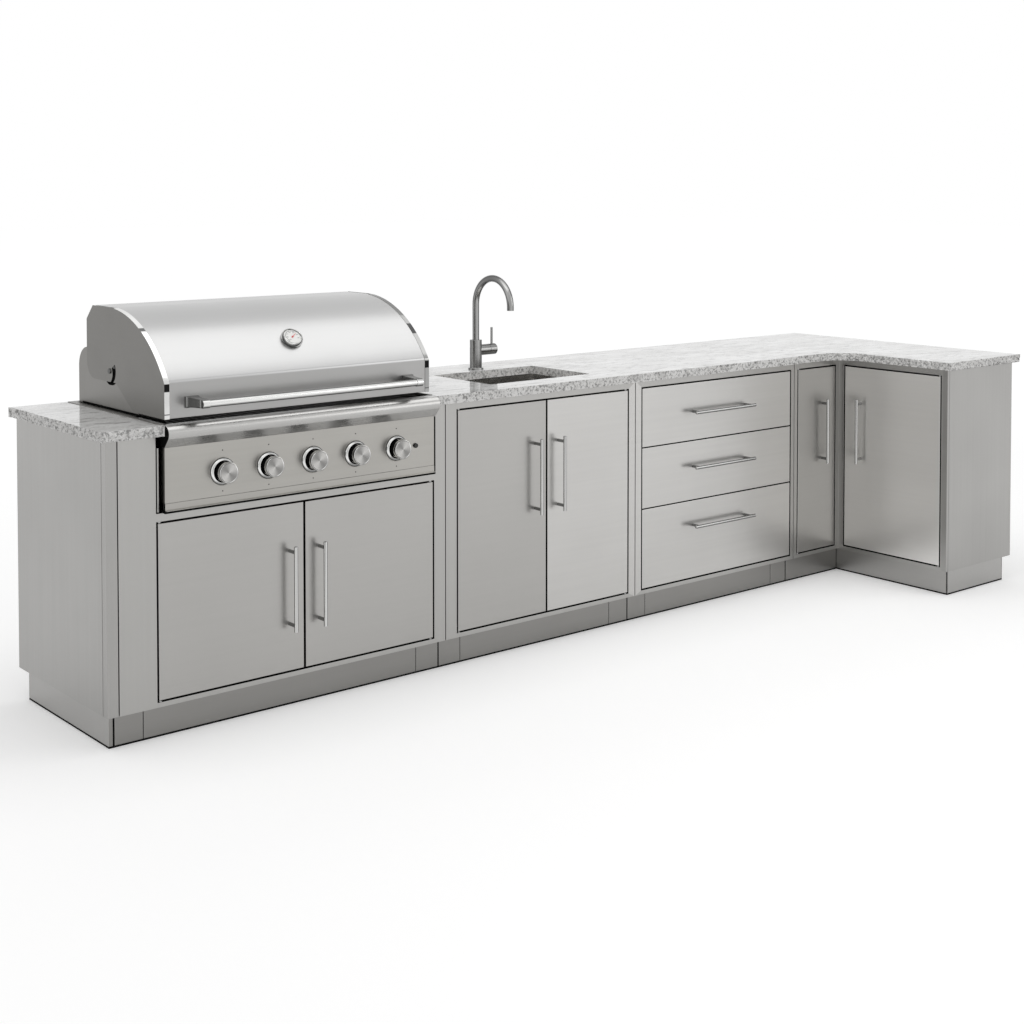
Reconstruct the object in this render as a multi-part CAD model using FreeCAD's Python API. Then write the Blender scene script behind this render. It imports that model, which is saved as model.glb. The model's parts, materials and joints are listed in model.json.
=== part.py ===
import FreeCAD, Part
import math
import os

# Outdoor kitchen island: an L-shaped run of stainless cabinets under granite slabs, with a built-in grill,
# a sink and tap, three drawers, and a short return leg that comes forward at the right-hand end.
# Millimetres. While it is drawn, X starts at the left end panel and grows to the right, Y = 0 is the front
# face of the main run and grows to the back, and Z = 0 is the floor. The finished part is moved so that its
# origin is the middle of its footprint, on the floor.

# Heights
COUNTER_TOP = 914.0
SLAB = 30.0
PLINTH_HEIGHT = 100.0
DOOR_BOTTOM = PLINTH_HEIGHT + 18.0
DOOR_TOP = COUNTER_TOP - 58.0
GRILL_DOOR_TOP = COUNTER_TOP - 282.0
GRILL_RAIL_TOP = COUNTER_TOP - 254.0
TOP_DRAWER_SHARE = 0.2967
BOTTOM_DRAWER_SHARE = 0.3984

# Widths along the run, from the left end panel to the return leg, and the stiles beside the fronts
END_PANEL = 34.0
GRILL_CABINET_WIDTH = 1155.0
SINK_CABINET_WIDTH = 864.0
DRAWER_CABINET_WIDTH = 879.0
CORNER_BAY = 280.0
RETURN_WIDTH = 436.0
RETURN_LENGTH = 522.0
RETURN_PANEL = 22.0
CORNER_POST = 25.0
GRILL_STILES = (121.0, 49.0)
SINK_STILES = (49.0, 35.0)
DRAWER_STILES = (33.0, 22.0)
NARROW_STILE = 22.0

# Depths
CARCASS_DEPTH = 600.0
BACK_LAP = 20.0
SLAB_OVERHANG = 25.0
PLINTH_SETBACK = 40.0
PLINTH_END_SETBACK = 22.0

# Sheet work and running gaps
SHEET = 1.5
LEAF = 20.0
GAP = 4.0
CABINET_GAP = 3.0
SLAB_SEAM = 0.8
SLAB_CORNER_RADIUS = 110.0
RETURN_FLANGE = 20.0
TOP_RAIL_WIDTH = 70.0
SPACER_RADIUS = 10.0
FLOOR_CLEARANCE = 6.0
SEAT_GAP = 0.3
TURN_GAP = 0.05

# Plinth
PLINTH_POST = 90.0
PLINTH_LIP = 14.0
PLINTH_SEAM = 2.5

# Levelling feet
FOOT_RADIUS = 22.0
FOOT_PAD = 8.0
FOOT_STEM_RADIUS = 7.0
FOOT_NUT_RADIUS = 11.0
FOOT_NUT = 9.0
FOOT_INSET_FRONT = 90.0
FOOT_INSET_SIDE = 60.0

# Door hinges: pins in blocks inside the leaf, set back from its corner
PIN_RADIUS = 4.0
PIN_INSET = 8.0
PIN_LENGTH = 12.0
PIN_COLLAR_RADIUS = 7.0
BLOCK_LENGTH = 18.0
BLOCK_HEIGHT = 16.0
LEAF_LIP = 12.0

# Bar handles
BAR_RADIUS = 6.0
BAR_POST_RADIUS = 5.5
BAR_REACH = 36.0
BAR_LENGTH = 262.0
BAR_POSTS = 224.0
CORNER_BAR_REACH = 30.0
DRAWER_BAR_LENGTH = 330.0
DRAWER_BAR_POSTS = 288.0
GRILL_BAR_FROM_SPLIT = 53.0
SINK_BAR_FROM_SPLIT = 53.0
BAR_HEIGHT = DOOR_TOP - 258.0
NARROW_BAR_FROM_CORNER = 83.0
RETURN_BAR_U = 112.0
TOP_BAR_RISE = 110.0
MIDDLE_BAR_RISE = 128.0
BOTTOM_BAR_DROP = 94.0

# Drawers and their slides
DRAWER_DEPTH = CARCASS_DEPTH - 120.0
DRAWER_SIDE_CLEARANCE = 14.0
DRAWER_FLOOR_DROP = 24.0
DRAWER_WALL_DROP = 46.0
RAIL_HEIGHT = 30.0
RAIL_DEPTH = 12.0
RAIL_LENGTH = DRAWER_DEPTH - 10.0
RAIL_START = 26.0
SLIDE_TONGUE = 26.0
SLIDE_REACH = 10.0
RAIL_BRACKET = 24.0
RAIL_RISE = 40.0

# Sink and tap
SINK_OFF_CENTRE = 56.0
SINK_WIDTH = 450.0
SINK_FRONT = 100.0
SINK_BACK = CARCASS_DEPTH - 190.0
SINK_REVEAL = 6.0
SINK_DEPTH = 170.0
SINK_RIM = 22.0
STRAINER_RADIUS = 42.0
TAIL_RADIUS = 19.0
TAIL_BORE_RADIUS = 17.0
TAIL_END = 116.0
TAP_OFF_SINK = 5.0
TAP_Y = CARCASS_DEPTH - 130.0
TAP_RADIUS = 22.5
TAP_HEIGHT = 109.0
TAP_FLANGE_RADIUS = 28.5
TAP_FLANGE = 6.0
TAP_SHANK_RADIUS = 14.0
TAP_SHANK = 60.0
SPOUT_RADIUS = 12.5
SPOUT_BORE_RADIUS = 11.0
SPOUT_BORE = 20.0
SPOUT_RISE = 241.0
SPOUT_BEND = 100.0
SPOUT_DROP = 12.0
SPOUT_SOCKET = 30.0
MIXER_HEIGHT = 70.0
MIXER_RADIUS = 20.0
MIXER_HOUSING_END = 58.0
MIXER_CAP_LENGTH = 30.0
MIXER_SPIGOT_RADIUS = 12.0
MIXER_SPIGOT = 10.0
LEVER_X = 75.0
LEVER_RADIUS = 4.5
LEVER_LENGTH = 82.0
LEVER_HUB_RADIUS = 7.0
LEVER_PIN_RADIUS = 2.0
LEVER_SLOT = 10.0
LEVER_TILT = 15.0

# Grill: cut-out between the slabs, housing and flange
CUTOUT_LEFT_MARGIN = 12.0
CUTOUT_RIGHT_MARGIN = -3.0
FLANGE_LAP = 6.0
FLANGE = 2.0
FLANGE_BACK = CARCASS_DEPTH + 12.0
APRON_LAP = 14.0
HOOD_MARGIN_LEFT = 17.0
HOOD_MARGIN_RIGHT = 7.0
HOOD_SLOT = 3.0
HOUSING_FRONT = 8.0
HOUSING_BACK = CARCASS_DEPTH - 12.0
HOUSING_BOTTOM = COUNTER_TOP - 250.0
HOUSING_SHEET = 2.0
WING_FRONT_TOP = COUNTER_TOP - 9.0
WING_ROUND = 62.0
WING_PIVOT_MARGIN = 42.0
REAR_WALL_TOP = COUNTER_TOP + 116.0

# Hood: side silhouette, pivot and stop slot
HOOD_FRONT = 9.0
HOOD_BOTTOM = COUNTER_TOP + 12.0
HOOD_RISE = 313.5
HOOD_BACK = CARCASS_DEPTH - 81.0
HOOD_ARC_Y = HOOD_BACK - 154.0
HOOD_ARC = HOOD_ARC_Y - HOOD_FRONT + 64.0
HOOD_CHAMFER = 44.0
HOOD_BACK_EDGE = COUNTER_TOP + 181.0
HOOD_SHEET = 2.0
HOOD_LIP = 16.0
PIVOT_Y = HOOD_BACK - 159.0
PIVOT_Z = COUNTER_TOP + 120.0
LOBE_BOTTOM = PIVOT_Z - 33.0
LOBE_RADIUS = 55.0
SHOULDER_Y = PIVOT_Y - 42.0
PLATE_FOOT_Y = PIVOT_Y - 155.0
HOOD_SKIN_STEP = PIVOT_Y - 30.0
PIVOT_RADIUS = 5.0
PIVOT_HEAD_RADIUS = 8.0
PIVOT_HEAD = 3.0
SLOT_RADIUS = 33.0
SLOT_WIDTH = 11.0
SLOT_START = 158.0
SLOT_END = 262.0
STOP_PIN_RADIUS = 4.0
BAND_WIDTH = 16.0
BAND = 1.2

# Hood handle and thermometer
GRIP_RADIUS = 11.0
GRIP_MARGIN = 81.0
GRIP_Y = -62.0
GRIP_Z = COUNTER_TOP + 57.0
GRIP_FOOT_WIDTH = 44.0
GRIP_FOOT_HEIGHT = 34.0
GRIP_NECK = 24.0
DIAL_RADIUS = 35.0
DIAL_DEPTH = 16.0
DIAL_FACE_RADIUS = 29.5
DIAL_RECESS = 4.0
DIAL_ANGLE = 131.7
DIAL_STEM_RADIUS = 5.0
DIAL_STEM = 60.0
NEEDLE_LENGTH = 22.0
NEEDLE_WIDTH = 3.0
NEEDLE = 1.0
NEEDLE_HUB = 3.2
NEEDLE_PIN = 1.0
NEEDLE_REST = 52.0

# Fascia, bullnose rail, knobs and igniter
FASCIA_MARGIN = 2.0
FASCIA_FRONT = -20.0
FASCIA_BOTTOM = COUNTER_TOP - 224.0
FASCIA_TOP = COUNTER_TOP - 64.0
NOSE_FRONT = -47.0
NOSE_RADIUS = 24.0
NOSE_WALL = 2.0
TRAY_EDGE_BOTTOM = COUNTER_TOP - 246.0
KNOB_COUNT = 5
KNOB_PITCH_SHARE = 0.1615
KNOB_OFF_CENTRE = 15.0
KNOB_Z = COUNTER_TOP - 152.0
KNOB_RADIUS = 31.5
KNOB_FACE = 13.0
KNOB_NECK_RADIUS = 26.5
KNOB_NECK = 26.0
SPINDLE_RADIUS = 4.0
SPINDLE_LENGTH = 48.0
BEZEL_RADIUS = 42.0
BEZEL_HOLE = 28.5
BEZEL = 10.0
BEZEL_BEVEL = 4.0
SPINDLE_HOLE = 9.0
BUTTON_MARGIN = 81.0
BUTTON_RADIUS = 7.5
BUTTON_PROUD = 6.0
BUTTON_TRAVEL = 3.0
BUTTON_STEM_RADIUS = 4.0
BUTTON_STEM = 22.0
BUTTON_BOSS = 14.0

# Firebox, burners, tents, grates, gas pipe and tray
FIREBOX_MARGIN = 18.0
FIREBOX_FRONT = 60.0
FIREBOX_BACK = CARCASS_DEPTH - 160.0
FIREBOX_BOTTOM = COUNTER_TOP - 174.0
FIREBOX_TOP = COUNTER_TOP - 30.0
FIREBOX_LIP = 40.0
LEDGE = 14.0
TENT_LEDGE = COUNTER_TOP - 76.0
BURNER_LEDGE = COUNTER_TOP - 130.0
BURNER_RADIUS = 16.0
BURNER_WALL = 2.0
BURNER_END_GAP = 6.0
TENT_HALF_WIDTH = 48.0
TENT_RISE = 30.0
GRATE_TOP = COUNTER_TOP - 15.0
GRATE_ROD = 9.0
GRATE_RODS = 8
GRATE_GAP = 3.0
GRATE_BAR = 6.0
PIPE_RADIUS = 11.0
PIPE_Y = 36.0
VALVE_RADIUS = 13.0
VALVE_FRONT = 2.0
ORIFICE_RADIUS = 5.0
STRAP = 16.0
FEED_RADIUS = 8.0
ELBOW = 12.0
INLET_MARGIN = 123.0
INLET_RADIUS = 10.65
INLET_SPIGOT = 18.0
INLET_Z = COUNTER_TOP - 214.0
INLET_EASE = 2.0
TRAY_DEPTH = CARCASS_DEPTH - 160.0
TRAY_HEIGHT = 18.0
TRAY_GAP = 3.0
TRAY_LEDGE = 20.0
TRAY_PULL = 10.0

# Values worked out from the ones above
SLAB_BOTTOM = COUNTER_TOP - SLAB
PANEL_DEPTH = CARCASS_DEPTH + BACK_LAP
FRONT_HEIGHT = DOOR_TOP - DOOR_BOTTOM
DRAWER_SPLIT_LOW = DOOR_BOTTOM + BOTTOM_DRAWER_SHARE * FRONT_HEIGHT
DRAWER_SPLIT_HIGH = DOOR_TOP - TOP_DRAWER_SHARE * FRONT_HEIGHT
TOP_DRAWER_BAR = DRAWER_SPLIT_HIGH + TOP_BAR_RISE
MIDDLE_DRAWER_BAR = DRAWER_SPLIT_LOW + MIDDLE_BAR_RISE
BOTTOM_DRAWER_BAR = DRAWER_SPLIT_LOW - BOTTOM_BAR_DROP
GRILL_BAR_HEIGHT = (DOOR_BOTTOM + GRILL_DOOR_TOP) / 2
GRILL_CABINET_START = END_PANEL + CABINET_GAP
GRILL_CABINET_END = GRILL_CABINET_START + GRILL_CABINET_WIDTH
SINK_CABINET_START = GRILL_CABINET_END + CABINET_GAP
SINK_CABINET_END = SINK_CABINET_START + SINK_CABINET_WIDTH
DRAWER_CABINET_START = SINK_CABINET_END + CABINET_GAP
DRAWER_CABINET_END = DRAWER_CABINET_START + DRAWER_CABINET_WIDTH
CORNER_CABINET_START = DRAWER_CABINET_END + CABINET_GAP
CORNER_X = CORNER_CABINET_START + CORNER_BAY
RUN_END = CORNER_X + RETURN_WIDTH
GRILL_DOOR_LEFT = GRILL_CABINET_START + GRILL_STILES[0]
GRILL_DOOR_RIGHT = GRILL_CABINET_END - GRILL_STILES[1]
GRILL_DOOR_SPLIT = (GRILL_DOOR_LEFT + GRILL_DOOR_RIGHT) / 2
SINK_DOOR_LEFT = SINK_CABINET_START + SINK_STILES[0]
SINK_DOOR_RIGHT = SINK_CABINET_END - SINK_STILES[1]
SINK_DOOR_SPLIT = (SINK_DOOR_LEFT + SINK_DOOR_RIGHT) / 2
DRAWER_LEFT = DRAWER_CABINET_START + DRAWER_STILES[0]
DRAWER_RIGHT = DRAWER_CABINET_END - DRAWER_STILES[1]
NARROW_DOOR_LEFT = CORNER_CABINET_START + NARROW_STILE
NARROW_DOOR_RIGHT = CORNER_X - CORNER_POST
NARROW_BAR_X = NARROW_DOOR_RIGHT - NARROW_BAR_FROM_CORNER
RETURN_CARCASS = RETURN_LENGTH - RETURN_PANEL
RETURN_DOOR_START = CORNER_POST + GAP
RETURN_DOOR_END = RETURN_CARCASS - 2 * SHEET - GAP - 3.0
SINK_CENTRE = SINK_DOOR_SPLIT + SINK_OFF_CENTRE
TAP_X = SINK_CENTRE + TAP_OFF_SINK
GRILL_SLAB_LEFT = GRILL_DOOR_LEFT + CUTOUT_LEFT_MARGIN
GRILL_SLAB_RIGHT = GRILL_DOOR_RIGHT + CUTOUT_RIGHT_MARGIN
HOOD_LEFT = GRILL_SLAB_LEFT + HOOD_MARGIN_LEFT
HOOD_RIGHT = GRILL_SLAB_RIGHT - HOOD_MARGIN_RIGHT
HOOD_TOP = COUNTER_TOP + HOOD_RISE
GRIP_LEFT = HOOD_LEFT + GRIP_MARGIN
GRIP_RIGHT = HOOD_RIGHT - GRIP_MARGIN
FASCIA_LEFT = GRILL_SLAB_LEFT + FASCIA_MARGIN
FASCIA_RIGHT = GRILL_SLAB_RIGHT - FASCIA_MARGIN
FIREBOX_LEFT = HOOD_LEFT + FIREBOX_MARGIN
FIREBOX_RIGHT = HOOD_RIGHT - FIREBOX_MARGIN
KNOB_PITCH = KNOB_PITCH_SHARE * (FASCIA_RIGHT - FASCIA_LEFT)
KNOB_MIDDLE_X = (FASCIA_LEFT + FASCIA_RIGHT) / 2 + KNOB_OFF_CENTRE
BUTTON_X = FASCIA_RIGHT - BUTTON_MARGIN
INLET_X = HOOD_RIGHT - INLET_MARGIN
CASING_LEFT = HOOD_LEFT - HOOD_SLOT
CASING_RIGHT = HOOD_RIGHT + HOOD_SLOT
WING_LEFT = HOOD_LEFT + HOOD_SHEET + HOOD_SLOT
WING_RIGHT = HOOD_RIGHT - HOOD_SHEET - HOOD_SLOT
HOOD_ARC_Z = HOOD_TOP - HOOD_ARC
SKIN_LEFT = HOOD_LEFT + HOOD_SHEET
SKIN_RIGHT = HOOD_RIGHT - HOOD_SHEET
REAR_SKIN_LEFT = WING_LEFT + HOUSING_SHEET + HOOD_SLOT
REAR_SKIN_RIGHT = WING_RIGHT - HOUSING_SHEET - HOOD_SLOT
KNOB_XS = [KNOB_MIDDLE_X + (n - (KNOB_COUNT - 1) / 2) * KNOB_PITCH for n in range(KNOB_COUNT)]
BURNER_Z = BURNER_LEDGE + BURNER_RADIUS
SHIFT_X = -RUN_END / 2
SHIFT_Y = -(PANEL_DEPTH - RETURN_LENGTH - SLAB_OVERHANG) / 2

ALONG_X = FreeCAD.Vector(1, 0, 0)
ALONG_Y = FreeCAD.Vector(0, 1, 0)
ALONG_Z = FreeCAD.Vector(0, 0, 1)


def vec(x, y, z):
    return FreeCAD.Vector(x, y, z)


def box(x0, x1, y0, y1, z0, z1):
    return Part.makeBox(x1 - x0, y1 - y0, z1 - z0, vec(x0, y0, z0))


def rod(radius, start, direction, length):
    return Part.makeCylinder(radius, length, start, direction)


def fused(shapes):
    shapes = list(shapes)
    if len(shapes) == 1:
        return shapes[0]
    return shapes[0].multiFuse(shapes[1:]).removeSplitter()


def group(shapes):
    return Part.makeCompound(list(shapes))


def prism_x(points, x0, x1):
    """A closed outline of (y, z) points carried from x0 to x1."""
    corners = [vec(x0, y, z) for y, z in points]
    face = Part.Face(Part.makePolygon(corners + corners[:1]))
    return face.extrude(vec(x1 - x0, 0, 0))


def to_return(shape):
    """Turn a piece drawn on the front of the main run so that it stands on the inner face of the return."""
    turned = shape.copy()
    turned.rotate(vec(0, 0, 0), ALONG_Z, -90)
    turned.translate(vec(CORNER_X, 0, 0))
    return turned


def on_axis(shape, origin, direction):
    """Move a piece drawn about the Z axis to another origin and direction."""
    moved = shape.copy()
    moved.Placement = FreeCAD.Placement(origin, FreeCAD.Rotation(ALONG_Z, direction))
    return moved


def turned_profile(points):
    """Revolve (radius, height) points about the Z axis."""
    corners = [vec(r, 0, z) for r, z in points]
    face = Part.Face(Part.makePolygon(corners + corners[:1]))
    return face.revolve(vec(0, 0, 0), ALONG_Z, 360)


def hexagon(radius, centre, direction):
    """A six-sided face with two of its corners along the second axis of its own plane."""
    corners = [vec(radius * math.cos(math.radians(60 * k)), radius * math.sin(math.radians(60 * k)), 0)
               for k in range(6)]
    return on_axis(Part.Face(Part.makePolygon(corners + corners[:1])), centre, direction)


def mirrored_in_grill(shape):
    return shape.mirror(vec((HOOD_LEFT + HOOD_RIGHT) / 2, 0, 0), ALONG_X)


# Cabinets


def opening_flange(u0, u1, z0, z1):
    """The folded edge of a door opening, round the outside of the hole."""
    outer = box(u0 - SHEET, u1 + SHEET, 0, RETURN_FLANGE, z0 - SHEET, z1 + SHEET)
    return outer.cut(box(u0, u1, -1, RETURN_FLANGE + 1, z0, z1))


def sheet_box(x0, x1, y0, y1, z0, z1):
    """An open-topped box of sheet."""
    inner = box(x0 + SHEET, x1 - SHEET, y0 + SHEET, y1 - SHEET, z0 + SHEET, z1 + 1)
    return box(x0, x1, y0, y1, z0, z1).cut(inner)


def top_rails(x0, x1, front_rail=True):
    rails = [box(x0, x1, CARCASS_DEPTH - TOP_RAIL_WIDTH, CARCASS_DEPTH, SLAB_BOTTOM - SHEET, SLAB_BOTTOM)]
    if front_rail:
        rails.append(box(x0, x1, 0, TOP_RAIL_WIDTH, SLAB_BOTTOM - SHEET, SLAB_BOTTOM))
    return rails


def spacers(x):
    """The small bosses on a cabinet's right side that keep its neighbour a seam's width away."""
    places = [(y, z) for y in (80, CARCASS_DEPTH - 80) for z in (PLINTH_HEIGHT + 60, SLAB_BOTTOM - 60)]
    return [rod(SPACER_RADIUS, vec(x, y, z), ALONG_X, CABINET_GAP) for y, z in places]


def door_opening(u0, u1, z1):
    return (u0 - GAP, u1 + GAP, DOOR_BOTTOM - GAP, z1 + GAP)


def grill_cabinet():
    x0, x1 = GRILL_CABINET_START, GRILL_CABINET_END
    u0, u1, z0, z1 = door_opening(GRILL_DOOR_LEFT, GRILL_DOOR_RIGHT, GRILL_DOOR_TOP)
    shell = sheet_box(x0, x1, 0, CARCASS_DEPTH, PLINTH_HEIGHT, SLAB_BOTTOM)
    shell = shell.cut(box(u0, u1, -1, SHEET + 1, z0, z1))
    shell = shell.cut(box(u0, u1, -1, SHEET + 1, GRILL_RAIL_TOP, SLAB_BOTTOM + 1))
    stiles = [box(u0 - SHEET, u0, 0, RETURN_FLANGE, z0, SLAB_BOTTOM),
              box(u1, u1 + SHEET, 0, RETURN_FLANGE, z0, SLAB_BOTTOM)]
    shelf = box(u0, u1, 0, RETURN_FLANGE, GRILL_RAIL_TOP - SHEET, GRILL_RAIL_TOP)
    rails = [box(x0, GRILL_SLAB_LEFT, 0, CARCASS_DEPTH, SLAB_BOTTOM - SHEET, SLAB_BOTTOM),
             box(GRILL_SLAB_RIGHT, x1, 0, CARCASS_DEPTH, SLAB_BOTTOM - SHEET, SLAB_BOTTOM)]
    cabinet = fused([shell, opening_flange(u0, u1, z0, z1), shelf] + stiles + rails + spacers(x1))
    return cabinet.cut(inlet_passage())


def sink_cabinet():
    x0, x1 = SINK_CABINET_START, SINK_CABINET_END
    u0, u1, z0, z1 = door_opening(SINK_DOOR_LEFT, SINK_DOOR_RIGHT, DOOR_TOP)
    shell = sheet_box(x0, x1, 0, CARCASS_DEPTH, PLINTH_HEIGHT, SLAB_BOTTOM)
    shell = shell.cut(box(u0, u1, -1, SHEET + 1, z0, z1))
    parts = [shell, opening_flange(u0, u1, z0, z1)] + top_rails(x0, x1) + spacers(x1)
    return fused(parts)


def drawer_cabinet():
    x0, x1 = DRAWER_CABINET_START, DRAWER_CABINET_END
    u0, u1, z0, z1 = door_opening(DRAWER_LEFT, DRAWER_RIGHT, DOOR_TOP)
    shell = sheet_box(x0, x1, 0, CARCASS_DEPTH, PLINTH_HEIGHT, SLAB_BOTTOM)
    shell = shell.cut(box(u0, u1, -1, SHEET + 1, z0, z1))
    parts = [shell, opening_flange(u0, u1, z0, z1)] + top_rails(x0, x1) + spacers(x1)
    return fused(parts)


def corner_cabinet():
    x0, x1 = CORNER_CABINET_START, RUN_END
    u0, u1, z0, z1 = door_opening(NARROW_DOOR_LEFT, NARROW_DOOR_RIGHT, DOOR_TOP)
    r0, r1 = RETURN_DOOR_START - GAP, RETURN_DOOR_END + GAP
    outer = box(x0, x1, 0, CARCASS_DEPTH, PLINTH_HEIGHT, SLAB_BOTTOM)
    outer = outer.fuse(box(CORNER_X, x1, -RETURN_CARCASS, 1, PLINTH_HEIGHT, SLAB_BOTTOM))
    low = PLINTH_HEIGHT + SHEET
    inner = box(x0 + SHEET, x1 - SHEET, SHEET, CARCASS_DEPTH - SHEET, low, SLAB_BOTTOM + 1)
    inner = inner.fuse(box(CORNER_X + SHEET, x1 - SHEET, SHEET - RETURN_CARCASS, SHEET + 1,
                           low, SLAB_BOTTOM + 1))
    shell = outer.cut(inner)
    shell = shell.cut(box(u0, u1, -1, SHEET + 1, z0, z1))
    shell = shell.cut(to_return(box(r0, r1, -1, SHEET + 1, z0, z1)))
    rails = top_rails(x0, x1, front_rail=False)
    rails.append(box(x0, CORNER_X + SHEET, 0, TOP_RAIL_WIDTH, SLAB_BOTTOM - SHEET, SLAB_BOTTOM))
    rails.append(box(CORNER_X, x1, -RETURN_CARCASS, TOP_RAIL_WIDTH - RETURN_CARCASS,
                     SLAB_BOTTOM - SHEET, SLAB_BOTTOM))
    flanges = [opening_flange(u0, u1, z0, z1), to_return(opening_flange(r0, r1, z0, z1))]
    return fused([shell] + flanges + rails)


def end_panels():
    """Boxed panels: one closes the left end of the run, one the front end of the return leg."""
    left = box(0, END_PANEL, 0, PANEL_DEPTH, PLINTH_HEIGHT, SLAB_BOTTOM)
    left = left.cut(box(SHEET, END_PANEL + 1, SHEET, PANEL_DEPTH - SHEET, PLINTH_HEIGHT + SHEET,
                        SLAB_BOTTOM - SHEET))
    lips = [box(END_PANEL - SHEET, END_PANEL, 0, LEAF_LIP, PLINTH_HEIGHT, SLAB_BOTTOM),
            box(END_PANEL - SHEET, END_PANEL, PANEL_DEPTH - LEAF_LIP, PANEL_DEPTH, PLINTH_HEIGHT, SLAB_BOTTOM)]
    bosses = [rod(SPACER_RADIUS, vec(SHEET, y, z), ALONG_X, END_PANEL + CABINET_GAP - SHEET)
              for y in (80, CARCASS_DEPTH - 80) for z in (PLINTH_HEIGHT + 60, SLAB_BOTTOM - 60)]
    left = fused([left] + lips + bosses)
    y0, y1 = -RETURN_LENGTH, -RETURN_CARCASS
    right = box(CORNER_X, RUN_END, y0, y1, PLINTH_HEIGHT, SLAB_BOTTOM)
    right = right.cut(box(CORNER_X + SHEET, RUN_END - SHEET, y0 + SHEET, y1 + 1, PLINTH_HEIGHT + SHEET,
                          SLAB_BOTTOM - SHEET))
    return group([left, right])


# Plinth and feet


def plinth_sheet(u0, u1, v, up_to=PLINTH_HEIGHT):
    """A toe-kick sheet facing the front, with a folded top edge that meets the cabinet floor."""
    face = box(u0, u1, v, v + SHEET, FLOOR_CLEARANCE, up_to)
    lip = box(u0, u1, v, v + PLINTH_LIP, up_to - SHEET, up_to)
    return face.fuse(lip)


def plinth_run(u0, u1, v):
    """A post at each end of a cabinet and one long sheet between them."""
    cuts = [u0, u0 + PLINTH_POST, u1 - PLINTH_POST, u1]
    return [plinth_sheet(a, b - PLINTH_SEAM, v) for a, b in zip(cuts[:-1], cuts[1:])]


def plinth_panels():
    v = PLINTH_SETBACK
    end_x = PLINTH_END_SETBACK
    sheets = []
    sheets += plinth_run(GRILL_CABINET_START + CABINET_GAP, GRILL_CABINET_END, v)
    sheets += plinth_run(SINK_CABINET_START, SINK_CABINET_END, v)
    sheets += plinth_run(DRAWER_CABINET_START, DRAWER_CABINET_END, v)
    sheets.append(plinth_sheet(CORNER_CABINET_START, CORNER_X + v - PLINTH_SEAM, v))
    sheets.append(to_return(plinth_sheet(-v, RETURN_LENGTH - end_x, v)))
    under_panel = box(end_x, END_PANEL, v, PANEL_DEPTH - end_x, FLOOR_CLEARANCE, PLINTH_HEIGHT)
    hollow = box(end_x + SHEET, END_PANEL + 1, v + SHEET, PANEL_DEPTH - end_x - SHEET,
                 0, PLINTH_HEIGHT - SHEET)
    sheets.append(under_panel.cut(hollow))
    side_x = RUN_END - end_x
    sheets.append(box(CORNER_X + v + SHEET + PLINTH_SEAM, side_x - SHEET - PLINTH_SEAM, end_x - RETURN_LENGTH,
                      end_x - RETURN_LENGTH + SHEET, FLOOR_CLEARANCE, PLINTH_HEIGHT))
    sheets.append(box(side_x - SHEET, side_x, end_x - RETURN_LENGTH, CARCASS_DEPTH - end_x,
                      FLOOR_CLEARANCE, PLINTH_HEIGHT))
    return group(sheets)


def foot(x, y):
    """A round pad, a stem, and a six-sided nut under the cabinet floor."""
    pad = rod(FOOT_RADIUS, vec(x, y, 0), ALONG_Z, FOOT_PAD)
    stem = rod(FOOT_STEM_RADIUS, vec(x, y, 0), ALONG_Z, PLINTH_HEIGHT - 1)
    nut = hexagon(FOOT_NUT_RADIUS, vec(x, y, PLINTH_HEIGHT - FOOT_NUT), ALONG_Z).extrude(vec(0, 0, FOOT_NUT))
    return fused([pad, stem, nut])


def levelling_feet():
    front, back = FOOT_INSET_FRONT, CARCASS_DEPTH - FOOT_INSET_FRONT
    bays = [(GRILL_CABINET_START, GRILL_CABINET_END), (SINK_CABINET_START, SINK_CABINET_END),
            (DRAWER_CABINET_START, DRAWER_CABINET_END)]
    places = [(x, y) for x0, x1 in bays for x in (x0 + FOOT_INSET_SIDE, x1 - FOOT_INSET_SIDE)
              for y in (front, back)]
    corner = [CORNER_CABINET_START + FOOT_INSET_SIDE, RUN_END - FOOT_INSET_FRONT]
    places += [(x, back) for x in corner]
    places += [(x, FOOT_INSET_FRONT - RETURN_CARCASS) for x in (CORNER_X + FOOT_INSET_FRONT, corner[1])]
    places.append((corner[0], front))
    return group(foot(x, y) for x, y in places)


# Doors


def leaf(u0, u1, z0, z1):
    """A pan-folded front: skin, folded edges and inner lips, open at the back."""
    inside = box(u0 + SHEET, u1 - SHEET, SHEET, LEAF + 1, z0 + SHEET, z1 - SHEET)
    pan = box(u0, u1, 0, LEAF, z0, z1).cut(inside)
    lip = box(u0, u1, LEAF - SHEET, LEAF, z0, z1)
    lip = lip.cut(box(u0 + LEAF_LIP, u1 - LEAF_LIP, 0, LEAF + 1, z0 + LEAF_LIP, z1 - LEAF_LIP))
    return pan.fuse(lip)


def door(u0, u1, z0, z1, hinge_side):
    """A leaf with a pivot block in each hinge-side corner, bored for its pin."""
    if hinge_side == "left":
        b0, b1, axis = u0, u0 + BLOCK_LENGTH, u0 + PIN_INSET
    else:
        b0, b1, axis = u1 - BLOCK_LENGTH, u1, u1 - PIN_INSET
    blocks = [box(b0, b1, 0, LEAF, z0, z0 + BLOCK_HEIGHT), box(b0, b1, 0, LEAF, z1 - BLOCK_HEIGHT, z1)]
    solid = fused([leaf(u0, u1, z0, z1)] + blocks)
    depth = PIN_LENGTH + SEAT_GAP
    hole_low = rod(PIN_RADIUS + TURN_GAP, vec(axis, PIN_INSET, z0 - 1), ALONG_Z, depth + 1)
    hole_high = rod(PIN_RADIUS + TURN_GAP, vec(axis, PIN_INSET, z1 - depth), ALONG_Z, depth + 1)
    return solid.cut(hole_low).cut(hole_high)


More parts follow.
